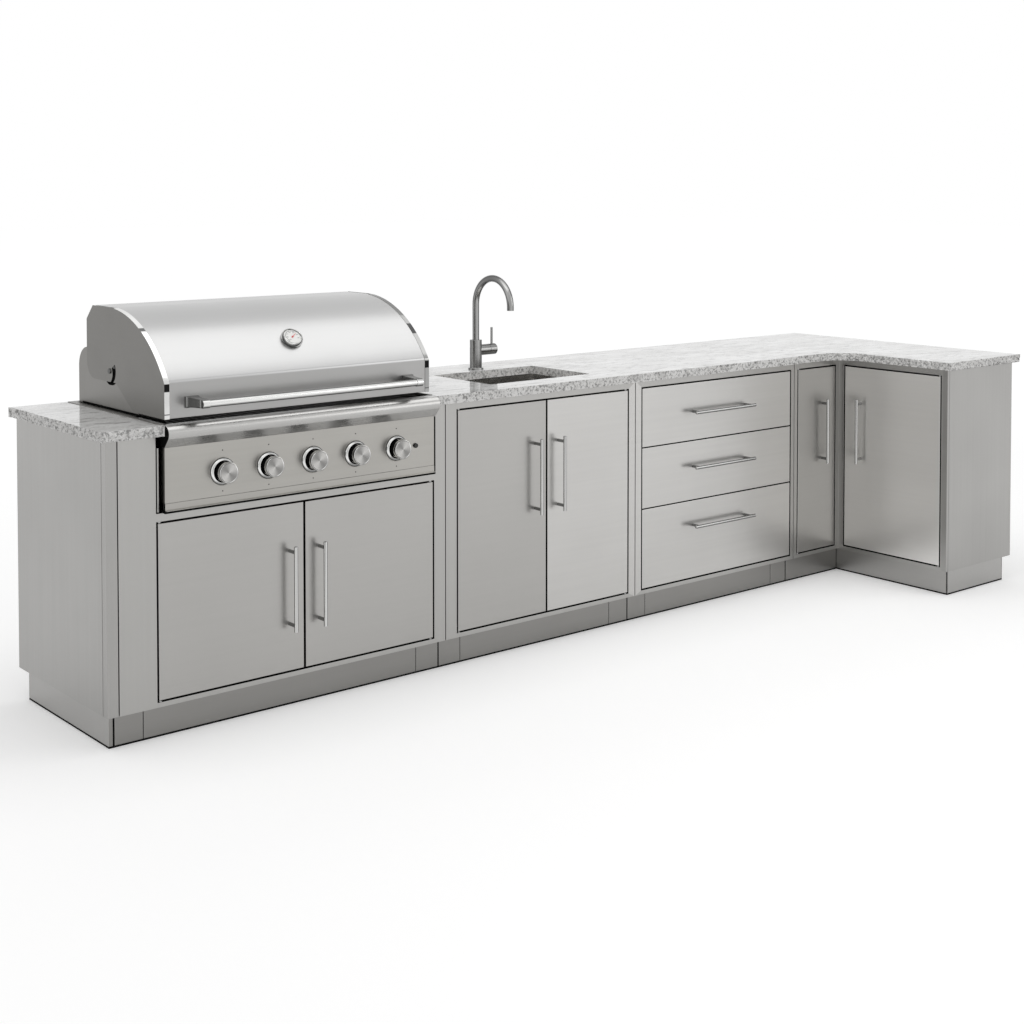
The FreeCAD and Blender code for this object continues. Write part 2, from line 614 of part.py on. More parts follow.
def door_pins(u0, u1, z0, z1, hinge_side):
    """One pin up from the sill and one down from the head, each with a collar that spaces the leaf."""
    axis = u0 + PIN_INSET if hinge_side == "left" else u1 - PIN_INSET
    collar = GAP - SEAT_GAP
    low = [rod(PIN_COLLAR_RADIUS, vec(axis, PIN_INSET, z0 - GAP), ALONG_Z, collar),
           rod(PIN_RADIUS, vec(axis, PIN_INSET, z0 - GAP), ALONG_Z, GAP + PIN_LENGTH)]
    high = [rod(PIN_COLLAR_RADIUS, vec(axis, PIN_INSET, z1 + SEAT_GAP), ALONG_Z, collar),
            rod(PIN_RADIUS, vec(axis, PIN_INSET, z1 - PIN_LENGTH), ALONG_Z, GAP + PIN_LENGTH)]
    return [fused(low), fused(high)]


GRILL_LEFT = (GRILL_DOOR_LEFT, GRILL_DOOR_SPLIT - GAP / 2, DOOR_BOTTOM, GRILL_DOOR_TOP, "left")
GRILL_RIGHT = (GRILL_DOOR_SPLIT + GAP / 2, GRILL_DOOR_RIGHT, DOOR_BOTTOM, GRILL_DOOR_TOP, "right")
SINK_LEFT = (SINK_DOOR_LEFT, SINK_DOOR_SPLIT - GAP / 2, DOOR_BOTTOM, DOOR_TOP, "left")
SINK_RIGHT = (SINK_DOOR_SPLIT + GAP / 2, SINK_DOOR_RIGHT, DOOR_BOTTOM, DOOR_TOP, "right")
NARROW = (NARROW_DOOR_LEFT, NARROW_DOOR_RIGHT, DOOR_BOTTOM, DOOR_TOP, "left")
RETURN = (RETURN_DOOR_START, RETURN_DOOR_END, DOOR_BOTTOM, DOOR_TOP, "right")


def pivot_pins():
    pins = []
    for spec in (GRILL_LEFT, GRILL_RIGHT, SINK_LEFT, SINK_RIGHT, NARROW):
        pins += door_pins(*spec)
    pins += [to_return(pin) for pin in door_pins(*RETURN)]
    pins += hood_pins()
    return group(pins)


# Bar handles


def bar_handle(u, z, length, posts, reach, upright=True):
    """A round bar on two posts, upright or level, on a face at y = 0."""
    along = ALONG_Z if upright else ALONG_X
    start = vec(u, -reach, z) - along * (length / 2)
    bar = Part.makeCylinder(BAR_RADIUS, length, start, along)
    feet = []
    for side in (-1, 1):
        base = vec(u, 0, z) + along * (side * posts / 2)
        feet.append(Part.makeCylinder(BAR_POST_RADIUS, reach, base, vec(0, -1, 0)))
    return fused([bar] + feet)


def door_handle(u, z, reach=BAR_REACH):
    return bar_handle(u, z, BAR_LENGTH, BAR_POSTS, reach)


def drawer_handle(z):
    middle = (DRAWER_LEFT + DRAWER_RIGHT) / 2
    return bar_handle(middle, z, DRAWER_BAR_LENGTH, DRAWER_BAR_POSTS, BAR_REACH, upright=False)


# Drawers and slides

DRAWER_BANDS = {
    "drawer_top": (DRAWER_SPLIT_HIGH + GAP / 2, DOOR_TOP),
    "drawer_middle": (DRAWER_SPLIT_LOW + GAP / 2, DRAWER_SPLIT_HIGH - GAP / 2),
    "drawer_bottom": (DOOR_BOTTOM, DRAWER_SPLIT_LOW - GAP / 2),
}


def drawer(z0, z1):
    """A folded front, the box behind it, and the tongue of each slide along its sides."""
    x0 = DRAWER_LEFT - GAP + DRAWER_SIDE_CLEARANCE
    x1 = DRAWER_RIGHT + GAP - DRAWER_SIDE_CLEARANCE
    y1 = LEAF + DRAWER_DEPTH
    low = z0 + DRAWER_FLOOR_DROP
    tray = sheet_box(x0, x1, LEAF - SHEET, y1, low, z1 - DRAWER_WALL_DROP)
    tongue_z = z0 + RAIL_RISE + (RAIL_HEIGHT - SLIDE_TONGUE) / 2
    tongues = []
    for side, wall in ((-1, x0), (1, x1)):
        a, b = sorted((wall, wall + side * SLIDE_REACH))
        tongues.append(box(a, b, RAIL_START, RAIL_START + RAIL_LENGTH - 2, tongue_z, tongue_z + SLIDE_TONGUE))
    return fused([leaf(DRAWER_LEFT, DRAWER_RIGHT, z0, z1), tray] + tongues)


def slide_rail(z0, side):
    """A channel open towards the drawer, carried off the cabinet side by two brackets."""
    if side < 0:
        mouth, wall = DRAWER_LEFT - GAP + DRAWER_SIDE_CLEARANCE - 1.5, DRAWER_CABINET_START + SHEET
    else:
        mouth, wall = DRAWER_RIGHT + GAP - DRAWER_SIDE_CLEARANCE + 1.5, DRAWER_CABINET_END - SHEET
    back = mouth + side * RAIL_DEPTH
    a, b = sorted((mouth, back))
    z = z0 + RAIL_RISE
    channel = box(a, b, RAIL_START, RAIL_START + RAIL_LENGTH, z, z + RAIL_HEIGHT)
    a, b = sorted((mouth - side, back - side * SHEET))
    hollow = box(a, b, RAIL_START - 1, RAIL_START + RAIL_LENGTH + 1, z + SHEET, z + RAIL_HEIGHT - SHEET)
    channel = channel.cut(hollow)
    a, b = sorted((back, wall))
    ends = (RAIL_START + 4, RAIL_START + RAIL_LENGTH - RAIL_BRACKET - 4)
    brackets = [box(a, b, y, y + RAIL_BRACKET, z, z + RAIL_HEIGHT) for y in ends]
    return fused([channel] + brackets)


def drawer_slide_rails():
    return group(slide_rail(z0, side) for z0, z1 in DRAWER_BANDS.values() for side in (-1, 1))


# Granite


def countertop_left():
    return box(-SLAB_OVERHANG, GRILL_SLAB_LEFT, -SLAB_OVERHANG, PANEL_DEPTH, SLAB_BOTTOM, COUNTER_TOP)


def countertop_sink():
    end = DRAWER_CABINET_START - SLAB_SEAM
    slab = box(GRILL_SLAB_RIGHT, end, -SLAB_OVERHANG, PANEL_DEPTH, SLAB_BOTTOM, COUNTER_TOP)
    half = SINK_WIDTH / 2
    slab = slab.cut(box(SINK_CENTRE - half, SINK_CENTRE + half, SINK_FRONT, SINK_BACK,
                        SLAB_BOTTOM - 1, COUNTER_TOP + 1))
    return slab.cut(rod(TAP_SHANK_RADIUS + 1, vec(TAP_X, TAP_Y, SLAB_BOTTOM - 1), ALONG_Z, SLAB + 2))


def countertop_drawers():
    return box(DRAWER_CABINET_START, CORNER_CABINET_START - SLAB_SEAM, -SLAB_OVERHANG, PANEL_DEPTH,
               SLAB_BOTTOM, COUNTER_TOP)


def countertop_corner():
    """The L-shaped slab, with its inner corner swept by a large radius."""
    x0, x1 = CORNER_CABINET_START, RUN_END + SLAB_OVERHANG
    inner_x, front = CORNER_X - SLAB_OVERHANG, -SLAB_OVERHANG
    r = SLAB_CORNER_RADIUS
    main = box(x0, x1, front, PANEL_DEPTH, SLAB_BOTTOM, COUNTER_TOP)
    leg = box(inner_x, x1, -RETURN_LENGTH - SLAB_OVERHANG, front + 1, SLAB_BOTTOM, COUNTER_TOP)
    fillet = box(inner_x - r, inner_x + 1, front - r, front + 1, SLAB_BOTTOM, COUNTER_TOP)
    fillet = fillet.cut(rod(r, vec(inner_x - r, front - r, SLAB_BOTTOM - 1), ALONG_Z, SLAB + 2))
    return fused([main, leg, fillet])


# Sink and tap


def tub(inset, z0, z1):
    half = SINK_WIDTH / 2 + SINK_REVEAL - inset
    return box(SINK_CENTRE - half, SINK_CENTRE + half, SINK_FRONT - SINK_REVEAL + inset,
               SINK_BACK + SINK_REVEAL - inset, z0, z1)


def sink_bowl():
    """A welded bowl with square corners, its rim flat under the stone."""
    top = SLAB_BOTTOM
    bottom = top - SINK_DEPTH
    outer = tub(-SHEET, bottom - SHEET, top)
    inner = tub(0, bottom, top + 1)
    half = SINK_WIDTH / 2 + SINK_REVEAL + SINK_RIM
    rim = box(SINK_CENTRE - half, SINK_CENTRE + half, SINK_FRONT - SINK_REVEAL - SINK_RIM,
              SINK_BACK + SINK_REVEAL + SINK_RIM, top - SHEET, top)
    bowl = outer.fuse(rim).cut(inner)
    middle = vec(SINK_CENTRE, (SINK_FRONT + SINK_BACK) / 2, bottom - 5)
    return bowl.cut(rod(STRAINER_RADIUS - 6, middle, ALONG_Z, 10)).removeSplitter()


def sink_waste():
    """A dished strainer flange in the bowl, the nut below it and the tail pipe, turned as one."""
    r, throat, tail = STRAINER_RADIUS, STRAINER_RADIUS - 6.3, TAIL_RADIUS
    points = [(0, -4), (throat - 8, -4), (throat - 4, 2), (r, 2), (r, 0.5), (throat, 0.5), (throat, -4),
              (r, -4), (r, -10), (tail, -10), (tail, -TAIL_END), (TAIL_BORE_RADIUS, -TAIL_END),
              (TAIL_BORE_RADIUS, -8), (0, -8)]
    body = turned_profile(points)
    body.translate(vec(SINK_CENTRE, (SINK_FRONT + SINK_BACK) / 2, SLAB_BOTTOM - SINK_DEPTH))
    return body


def faucet_body():
    """The tap's column with its side housing, base flange and threaded shank through the slab."""
    z = COUNTER_TOP
    column = turned_profile([(0, 0), (TAP_FLANGE_RADIUS, 0), (TAP_FLANGE_RADIUS, TAP_FLANGE - 2),
                             (TAP_FLANGE_RADIUS - 2, TAP_FLANGE), (TAP_RADIUS, TAP_FLANGE),
                             (TAP_RADIUS, TAP_HEIGHT - 2), (TAP_RADIUS - 2, TAP_HEIGHT), (0, TAP_HEIGHT)])
    column.translate(vec(TAP_X, TAP_Y, z))
    shank = rod(TAP_SHANK_RADIUS, vec(TAP_X, TAP_Y, z - TAP_SHANK), ALONG_Z, TAP_SHANK + 1)
    nut = rod(TAP_FLANGE_RADIUS, vec(TAP_X, TAP_Y, SLAB_BOTTOM - 6), ALONG_Z, 6)
    arm = rod(MIXER_RADIUS, vec(TAP_X, TAP_Y, z + MIXER_HEIGHT), ALONG_X, MIXER_HOUSING_END)
    body = fused([column, shank, nut, arm])
    socket = rod(SPOUT_RADIUS + TURN_GAP, vec(TAP_X, TAP_Y, z + TAP_HEIGHT - SPOUT_SOCKET), ALONG_Z,
                 SPOUT_SOCKET + 1)
    bore = rod(MIXER_SPIGOT_RADIUS + TURN_GAP,
               vec(TAP_X + MIXER_HOUSING_END - MIXER_SPIGOT - SEAT_GAP, TAP_Y, z + MIXER_HEIGHT),
               ALONG_X, MIXER_SPIGOT + 2)
    return body.cut(socket).cut(bore)


def faucet_spout():
    """The gooseneck: a riser, half a circle forward, and a short drop, bored at its outlet."""
    base = vec(TAP_X, TAP_Y, COUNTER_TOP + TAP_HEIGHT - SPOUT_SOCKET + SEAT_GAP)
    top = vec(TAP_X, TAP_Y, COUNTER_TOP + SPOUT_RISE)
    crown = top + vec(0, -SPOUT_BEND, SPOUT_BEND)
    over = top + vec(0, -2 * SPOUT_BEND, 0)
    end = over - vec(0, 0, SPOUT_DROP)
    path = Part.Wire([Part.LineSegment(base, top).toShape(), Part.Arc(top, crown, over).toShape(),
                      Part.LineSegment(over, end).toShape()])
    ring = Part.Wire([Part.Circle(base, ALONG_Z, SPOUT_RADIUS).toShape()])
    neck = path.makePipeShell([ring], True, False)
    return neck.cut(rod(SPOUT_BORE_RADIUS, end - vec(0, 0, 1), ALONG_Z, SPOUT_BORE + 1))


def mixer_cap():
    """The cartridge cap: a drum on the side housing, slotted above for the lever, with its cross pin."""
    z = COUNTER_TOP + MIXER_HEIGHT
    x0 = TAP_X + MIXER_HOUSING_END + SEAT_GAP
    x1 = x0 + MIXER_CAP_LENGTH
    drum = rod(MIXER_RADIUS, vec(x0, TAP_Y, z), ALONG_X, MIXER_CAP_LENGTH)
    spigot = rod(MIXER_SPIGOT_RADIUS, vec(x0 - MIXER_SPIGOT, TAP_Y, z), ALONG_X, MIXER_SPIGOT + 1)
    half = LEVER_SLOT / 2
    lean = (MIXER_RADIUS + 2) * math.tan(math.radians(LEVER_TILT))
    room = max(lean + LEVER_RADIUS, LEVER_HUB_RADIUS) + 1
    slot = box(TAP_X + LEVER_X - LEVER_HUB_RADIUS - 1, TAP_X + LEVER_X + room, TAP_Y - half, TAP_Y + half,
               z - LEVER_HUB_RADIUS - 1, z + MIXER_RADIUS + 1)
    slot = slot.common(box(x0, x1 - 1.5, TAP_Y - half, TAP_Y + half, z - MIXER_RADIUS, z + MIXER_RADIUS + 1))
    pin = rod(LEVER_PIN_RADIUS, vec(TAP_X + LEVER_X, TAP_Y - half - 1, z), ALONG_Y, LEVER_SLOT + 2)
    return fused([drum.fuse(spigot).cut(slot), pin])


def mixer_lever():
    """A slim rod rising from a hub that tilts on the cap's cross pin."""
    z = COUNTER_TOP + MIXER_HEIGHT
    half = LEVER_SLOT / 2 - SEAT_GAP
    hub = rod(LEVER_HUB_RADIUS, vec(TAP_X + LEVER_X, TAP_Y - half, z), ALONG_Y, 2 * half)
    stem = rod(LEVER_RADIUS, vec(TAP_X + LEVER_X, TAP_Y, z), ALONG_Z, LEVER_LENGTH)
    lever = hub.fuse(stem)
    return lever.cut(rod(LEVER_PIN_RADIUS + TURN_GAP, vec(TAP_X + LEVER_X, TAP_Y - 2 * half, z),
                         ALONG_Y, 4 * half))


# Hood


def hood_break(inset):
    """Height at which the flat front meets the arc."""
    radius = HOOD_ARC - inset
    run = HOOD_ARC_Y - (HOOD_FRONT + inset)
    return HOOD_ARC_Z + math.sqrt(radius ** 2 - run ** 2)


def hood_prism(inset, x0, x1, closing):
    """The hood's side silhouette, drawn in by inset and carried from x0 to x1.

    closing lists the (y, z) corners that lead from the foot of the back edge to the foot of the front."""
    front, top, back = HOOD_FRONT + inset, HOOD_TOP - inset, HOOD_BACK - inset
    radius = HOOD_ARC - inset
    easing = inset * math.tan(math.radians(22.5))
    start_angle = math.atan2(hood_break(inset) - HOOD_ARC_Z, front - HOOD_ARC_Y)
    middle = (start_angle + math.pi / 2) / 2
    a = vec(x0, front, HOOD_BOTTOM)
    b = vec(x0, front, hood_break(inset))
    m = vec(x0, HOOD_ARC_Y + radius * math.cos(middle), HOOD_ARC_Z + radius * math.sin(middle))
    c = vec(x0, HOOD_ARC_Y, top)
    d = vec(x0, HOOD_BACK - HOOD_CHAMFER - easing, top)
    e = vec(x0, back, HOOD_TOP - HOOD_CHAMFER - easing)
    corners = [vec(x0, y, z) for y, z in closing]
    edges = [Part.LineSegment(a, b).toShape(), Part.Arc(b, m, c).toShape(),
             Part.LineSegment(c, d).toShape(), Part.LineSegment(d, e).toShape()]
    last = e
    for corner in corners + [a]:
        edges.append(Part.LineSegment(last, corner).toShape())
        last = corner
    return Part.Face(Part.Wire(edges)).extrude(vec(x1 - x0, 0, 0))


def hood_band_of_sheet(x0, x1, y0, y1):
    """The hood skin between two widths and two depths."""
    feet = [(HOOD_BACK, HOOD_BACK_EDGE), (HOOD_BACK, HOOD_BOTTOM)]
    outer = hood_prism(0, x0, x1, feet)
    inner = hood_prism(HOOD_SHEET, x0 - 1, x1 + 1,
                       [(HOOD_BACK - HOOD_SHEET, HOOD_BOTTOM)])
    skin = outer.cut(inner).cut(box(x0 - 1, x1 + 1, HOOD_ARC_Y, HOOD_BACK + 1, HOOD_BOTTOM - 1, HOOD_BACK_EDGE))
    return skin.common(box(x0, x1, y0, y1, HOOD_BOTTOM - 1, HOOD_TOP + 1))


def stop_slot(x0, width):
    """The crescent about the pivot that the stop pin runs in, open at the plate's lower edge."""
    start = vec(x0, PIVOT_Y, PIVOT_Z)
    half = SLOT_WIDTH / 2
    ring = rod(SLOT_RADIUS + half, start, ALONG_X, width).cut(rod(SLOT_RADIUS - half, start, ALONG_X, width))
    far = 3 * SLOT_RADIUS
    rays = [(PIVOT_Y, PIVOT_Z)]
    steps = 3
    for n in range(steps + 1):
        angle = math.radians(SLOT_START + (SLOT_END - SLOT_START) * n / steps)
        rays.append((PIVOT_Y + far * math.cos(angle), PIVOT_Z + far * math.sin(angle)))
    crescent = ring.common(prism_x(rays, x0, x0 + width))
    angle = math.radians(SLOT_START)
    tip = vec(x0, PIVOT_Y + SLOT_RADIUS * math.cos(angle), PIVOT_Z + SLOT_RADIUS * math.sin(angle))
    return crescent.fuse(rod(half, tip, ALONG_X, width))


def hood_plate():
    """The left side plate: silhouette, rounded lobe below the pivot, pivot hole and stop slot."""
    x0, x1 = HOOD_LEFT, HOOD_LEFT + HOOD_SHEET
    feet = [(HOOD_BACK, LOBE_BOTTOM), (SHOULDER_Y, LOBE_BOTTOM), (PLATE_FOOT_Y, HOOD_BOTTOM)]
    plate = hood_prism(0, x0, x1, feet)
    rear = [e for e in plate.Edges if e.BoundBox.XLength > 1 and abs(e.BoundBox.YMax - HOOD_BACK) < 0.01
            and abs(e.BoundBox.ZMax - LOBE_BOTTOM) < 0.01]
    plate = plate.makeFillet(LOBE_RADIUS, rear)
    plate = plate.cut(rod(PIVOT_RADIUS + TURN_GAP, vec(x0 - 1, PIVOT_Y, PIVOT_Z), ALONG_X, HOOD_SHEET + 2))
    return plate.cut(stop_slot(x0 - 1, HOOD_SHEET + 2))


def hood_shell():
    front_skin = hood_band_of_sheet(SKIN_LEFT - 0.5, SKIN_RIGHT + 0.5, HOOD_FRONT - 1, HOOD_SKIN_STEP)
    rear_skin = hood_band_of_sheet(REAR_SKIN_LEFT, REAR_SKIN_RIGHT, HOOD_SKIN_STEP - 1, HOOD_BACK + 1)
    lip = box(SKIN_LEFT, SKIN_RIGHT, HOOD_FRONT, HOOD_FRONT + HOOD_LIP, HOOD_BOTTOM, HOOD_BOTTOM + HOOD_SHEET)
    plate = hood_plate()
    shell = fused([front_skin, rear_skin, lip, plate, mirrored_in_grill(plate)])
    origin, normal = dial_seat()
    return shell.cut(rod(DIAL_STEM_RADIUS + SEAT_GAP, origin - normal * 10, normal, 20))


def hood_trim_bands():
    """Polished strips over both ends of the hood's front and arc."""
    bands = []
    for x0 in (HOOD_LEFT, HOOD_RIGHT - BAND_WIDTH):
        x1 = x0 + BAND_WIDTH
        feet = [(HOOD_BACK, HOOD_BOTTOM)]
        strip = hood_prism(-BAND, x0, x1, feet).cut(hood_prism(0, x0 - 1, x1 + 1, feet))
        bands.append(strip.common(box(x0, x1, HOOD_FRONT - 2 * BAND, HOOD_SKIN_STEP, HOOD_BOTTOM,
                                      HOOD_TOP + 5)))
    return group(bands)


def hood_pins():
    """Pivot pins and stop pins that stand out of the wings through the hood's plates."""
    x = WING_LEFT
    reach = x - HOOD_LEFT + SEAT_GAP
    slack = SLOT_WIDTH / 2 - STOP_PIN_RADIUS - SEAT_GAP
    angle = math.radians(SLOT_START) - slack / SLOT_RADIUS
    stop_y = PIVOT_Y + SLOT_RADIUS * math.cos(angle)
    stop_z = PIVOT_Z + SLOT_RADIUS * math.sin(angle)
    pivot = fused([rod(PIVOT_RADIUS, vec(x, PIVOT_Y, PIVOT_Z), vec(-1, 0, 0), reach),
                   rod(PIVOT_HEAD_RADIUS, vec(x - reach, PIVOT_Y, PIVOT_Z), vec(-1, 0, 0), PIVOT_HEAD)])
    stop = rod(STOP_PIN_RADIUS, vec(x, stop_y, stop_z), vec(-1, 0, 0), reach)
    return [pivot, stop, mirrored_in_grill(pivot), mirrored_in_grill(stop)]


def grip_bracket(x, outward):
    """A cast arm that tapers from a broad foot on the hood to the bar's socket."""
    def rectangle(y, middle, width, height):
        corners = [vec(middle + sx * width / 2, y, GRIP_Z + sz * height / 2)
                   for sx, sz in ((-1, -1), (1, -1), (1, 1), (-1, 1))]
        return Part.makePolygon(corners + corners[:1])
    foot_wire = rectangle(HOOD_FRONT, x + outward * 6, GRIP_FOOT_WIDTH, GRIP_FOOT_HEIGHT)
    neck_wire = rectangle(GRIP_Y + GRIP_RADIUS, x, GRIP_NECK, GRIP_NECK)
    arm = Part.makeLoft([foot_wire, neck_wire], True, True)
    return arm.fuse(rod(GRIP_RADIUS + 1.5, vec(x - GRIP_NECK / 2, GRIP_Y, GRIP_Z), ALONG_X, GRIP_NECK))


def hood_handle():
    bar = rod(GRIP_RADIUS, vec(GRIP_LEFT, GRIP_Y, GRIP_Z), ALONG_X, GRIP_RIGHT - GRIP_LEFT)
    half = GRIP_NECK / 2
    brackets = [grip_bracket(GRIP_LEFT + half, -1), grip_bracket(GRIP_RIGHT - half, 1)]
    return fused([bar] + brackets)


def dial_seat():
    """Where the thermometer's axis leaves the arc of the hood, and its direction."""
    angle = math.radians(DIAL_ANGLE)
    normal = vec(0, math.cos(angle), math.sin(angle))
    origin = vec((HOOD_LEFT + HOOD_RIGHT) / 2, HOOD_ARC_Y, HOOD_ARC_Z) + normal * HOOD_ARC
    return origin, normal


def thermometer_case():
    """A round case with a sunk face, a centre pin for the needle, and a probe through the hood."""
    rim = DIAL_RADIUS
    face = DIAL_DEPTH - DIAL_RECESS
    points = [(0, 0), (rim - 3, 0), (rim, 3), (rim, DIAL_DEPTH - 3), (rim - 3, DIAL_DEPTH),
              (DIAL_FACE_RADIUS, DIAL_DEPTH), (DIAL_FACE_RADIUS, face), (0, face)]
    case = turned_profile(points)
    stem = rod(DIAL_STEM_RADIUS, vec(0, 0, -DIAL_STEM), ALONG_Z, DIAL_STEM + 1)
    pin = rod(NEEDLE_PIN, vec(0, 0, face - 1), ALONG_Z, 1 + SEAT_GAP + NEEDLE + SEAT_GAP)
    return on_axis(fused([case, stem, pin]), *dial_seat())


def thermometer_needle():
    base = DIAL_DEPTH - DIAL_RECESS + SEAT_GAP
    hub = rod(NEEDLE_HUB, vec(0, 0, base), ALONG_Z, NEEDLE)
    tail = NEEDLE_LENGTH * 0.3
    half = NEEDLE_WIDTH / 2
    corners = [vec(-half, -tail, base), vec(half, -tail, base), vec(0, NEEDLE_LENGTH, base)]
    pointer = Part.Face(Part.makePolygon(corners + corners[:1])).extrude(vec(0, 0, NEEDLE))
    pointer.rotate(vec(0, 0, 0), ALONG_Z, -NEEDLE_REST)
    needle = hub.fuse(pointer)
    needle = needle.cut(rod(NEEDLE_PIN + TURN_GAP, vec(0, 0, base - 1), ALONG_Z, NEEDLE + 2))
    return on_axis(needle, *dial_seat())


# Grill housing and fascia


def wing():
    """The left inner wall: low at the front, raised round the pivot, with a rounded rear shoulder."""
    x0, x1 = WING_LEFT, WING_LEFT + HOUSING_SHEET
    bump = PIVOT_Z + WING_PIVOT_MARGIN
    start = vec(x0, HOUSING_FRONT, HOUSING_BOTTOM)
    points = [start, vec(x0, HOUSING_FRONT, WING_FRONT_TOP), vec(x0, PLATE_FOOT_Y - 40, WING_FRONT_TOP),
              vec(x0, PIVOT_Y - WING_PIVOT_MARGIN, bump), vec(x0, HOUSING_BACK - WING_ROUND, bump + 18)]
    end = vec(x0, HOUSING_BACK, bump + 18 - WING_ROUND)
    slant = WING_ROUND * math.sqrt(0.5)
    through = vec(x0, HOUSING_BACK - WING_ROUND + slant, bump + 18 - WING_ROUND + slant)
    edges = [Part.LineSegment(a, b).toShape() for a, b in zip(points[:-1], points[1:])]
    edges.append(Part.Arc(points[-1], through, end).toShape())
    foot_point = vec(x0, HOUSING_BACK, HOUSING_BOTTOM)
    edges.append(Part.LineSegment(end, foot_point).toShape())
    edges.append(Part.LineSegment(foot_point, start).toShape())
    return Part.Face(Part.Wire(edges)).extrude(vec(x1 - x0, 0, 0))


def housing_side():
    """Left side: outer casing wall, flange on the slab, wing, the strip that joins them, and a tray ledge."""
    casing = box(CASING_LEFT - HOUSING_SHEET, CASING_LEFT, HOUSING_FRONT, HOUSING_BACK,
                 HOUSING_BOTTOM, COUNTER_TOP + FLANGE)
    flange = box(GRILL_SLAB_LEFT - FLANGE_LAP, CASING_LEFT, HOUSING_FRONT, FLANGE_BACK,
                 COUNTER_TOP, COUNTER_TOP + FLANGE)
    strip = box(CASING_LEFT - HOUSING_SHEET, WING_LEFT + 1, HOUSING_FRONT, HOUSING_BACK,
                HOUSING_BOTTOM, HOUSING_BOTTOM + HOUSING_SHEET)
    ledge = box(WING_LEFT, WING_LEFT + TRAY_LEDGE, HOUSING_FRONT, TRAY_DEPTH,
                TRAY_EDGE_BOTTOM - HOUSING_SHEET, TRAY_EDGE_BOTTOM)
    back = box(CASING_LEFT - HOUSING_SHEET, WING_LEFT + 1, HOUSING_BACK - HOUSING_SHEET, HOUSING_BACK,
               HOUSING_BOTTOM, COUNTER_TOP - 120)
    return [casing, flange, strip, ledge, wing(), back]


def inlet_passage():
    return rod(INLET_RADIUS + INLET_EASE, vec(INLET_X, HOUSING_BACK - 20, INLET_Z), ALONG_Y,
               PANEL_DEPTH - HOUSING_BACK)


def grill_housing():
    left = fused(housing_side())
    right = mirrored_in_grill(left)
    right = right.cut(box(GRILL_SLAB_RIGHT + FLANGE_LAP, RUN_END, 0, PANEL_DEPTH, COUNTER_TOP - 1,
                          COUNTER_TOP + FLANGE + 1))
    rear = box(WING_LEFT + 1, WING_RIGHT - 1, HOUSING_BACK - HOUSING_SHEET, HOUSING_BACK,
               HOUSING_BOTTOM, REAR_WALL_TOP)
    rear_flange = box(CASING_LEFT - 1, CASING_RIGHT + 1, HOUSING_BACK - 1, FLANGE_BACK,
                      COUNTER_TOP, COUNTER_TOP + FLANGE)
    apron = box(GRILL_SLAB_LEFT, GRILL_SLAB_RIGHT, FLANGE_BACK - HOUSING_SHEET, FLANGE_BACK,
                SLAB_BOTTOM - APRON_LAP, COUNTER_TOP + FLANGE)
    housing = fused([left, right, rear, rear_flange, apron])
    return housing.cut(inlet_passage())


def nose_outline(inset):
    """The bullnose: a flat top, a round front, and a slope back to the fascia."""
    top, low = COUNTER_TOP - inset, FASCIA_TOP + inset
    r = NOSE_RADIUS - inset
    middle_y, middle_z = NOSE_FRONT + NOSE_RADIUS, COUNTER_TOP - NOSE_RADIUS
    back = HOUSING_FRONT - inset
    slope = math.radians(215)
    tangent = vec(0, middle_y + r * math.cos(slope), middle_z + r * math.sin(slope))
    crown = vec(0, middle_y, middle_z + r)
    nose = vec(0, middle_y - r, middle_z)
    heel = vec(0, FASCIA_FRONT + inset, low)
    return [crown, nose, tangent, heel, vec(0, back, low), vec(0, back, top)]


def nose_prism(inset, x0, x1):
    crown, nose, tangent, heel, low_back, top_back = nose_outline(inset)
    edges = [Part.Arc(crown, nose, tangent).toShape()]
    loop = [tangent, heel, low_back, top_back, crown]
    edges += [Part.LineSegment(a, b).toShape() for a, b in zip(loop[:-1], loop[1:])]
    solid = Part.Face(Part.Wire(edges)).extrude(vec(x1 - x0, 0, 0))
    solid.translate(vec(x0, 0, 0))
    return solid


def front_rail():
    hollow = nose_prism(NOSE_WALL, FASCIA_LEFT + NOSE_WALL, FASCIA_RIGHT - NOSE_WALL)
    return nose_prism(0, FASCIA_LEFT, FASCIA_RIGHT).cut(hollow)


def control_panel():
    """The fascia: a front sheet folded back at both ends and along its edges, bored for spindles and button."""
    x0, x1, y0, y1 = FASCIA_LEFT, FASCIA_RIGHT, FASCIA_FRONT, HOUSING_FRONT
    front = box(x0, x1, y0, y0 + SHEET, FASCIA_BOTTOM, FASCIA_TOP)
    ends = [box(x0, x0 + SHEET, y0, y1, FASCIA_BOTTOM, FASCIA_TOP),
            box(x1 - SHEET, x1, y0, y1, FASCIA_BOTTOM, FASCIA_TOP)]
    tabs = [box(x0, CASING_LEFT, y1 - SHEET, y1, FASCIA_BOTTOM, FASCIA_TOP),
            box(CASING_RIGHT, x1, y1 - SHEET, y1, FASCIA_BOTTOM, FASCIA_TOP)]
    edge = box(x0, x1, y0, y0 + PLINTH_LIP, FASCIA_BOTTOM, FASCIA_BOTTOM + SHEET)
    boss = rod(BUTTON_RADIUS + 4, vec(BUTTON_X, y0 + SHEET / 2, KNOB_Z), ALONG_Y, BUTTON_BOSS)
    panel = fused([front, edge, boss] + ends + tabs)
    for x in KNOB_XS:
        panel = panel.cut(rod(SPINDLE_HOLE, vec(x, y0 - 1, KNOB_Z), ALONG_Y, SHEET + 2))
    seat = BUTTON_TRAVEL + SEAT_GAP
    panel = panel.cut(rod(BUTTON_RADIUS + SEAT_GAP, vec(BUTTON_X, y0 - 1, KNOB_Z), ALONG_Y, seat + 1))
    return panel.cut(rod(BUTTON_STEM_RADIUS + TURN_GAP, vec(BUTTON_X, y0 - 1, KNOB_Z), ALONG_Y,
                         BUTTON_BOSS + 5))


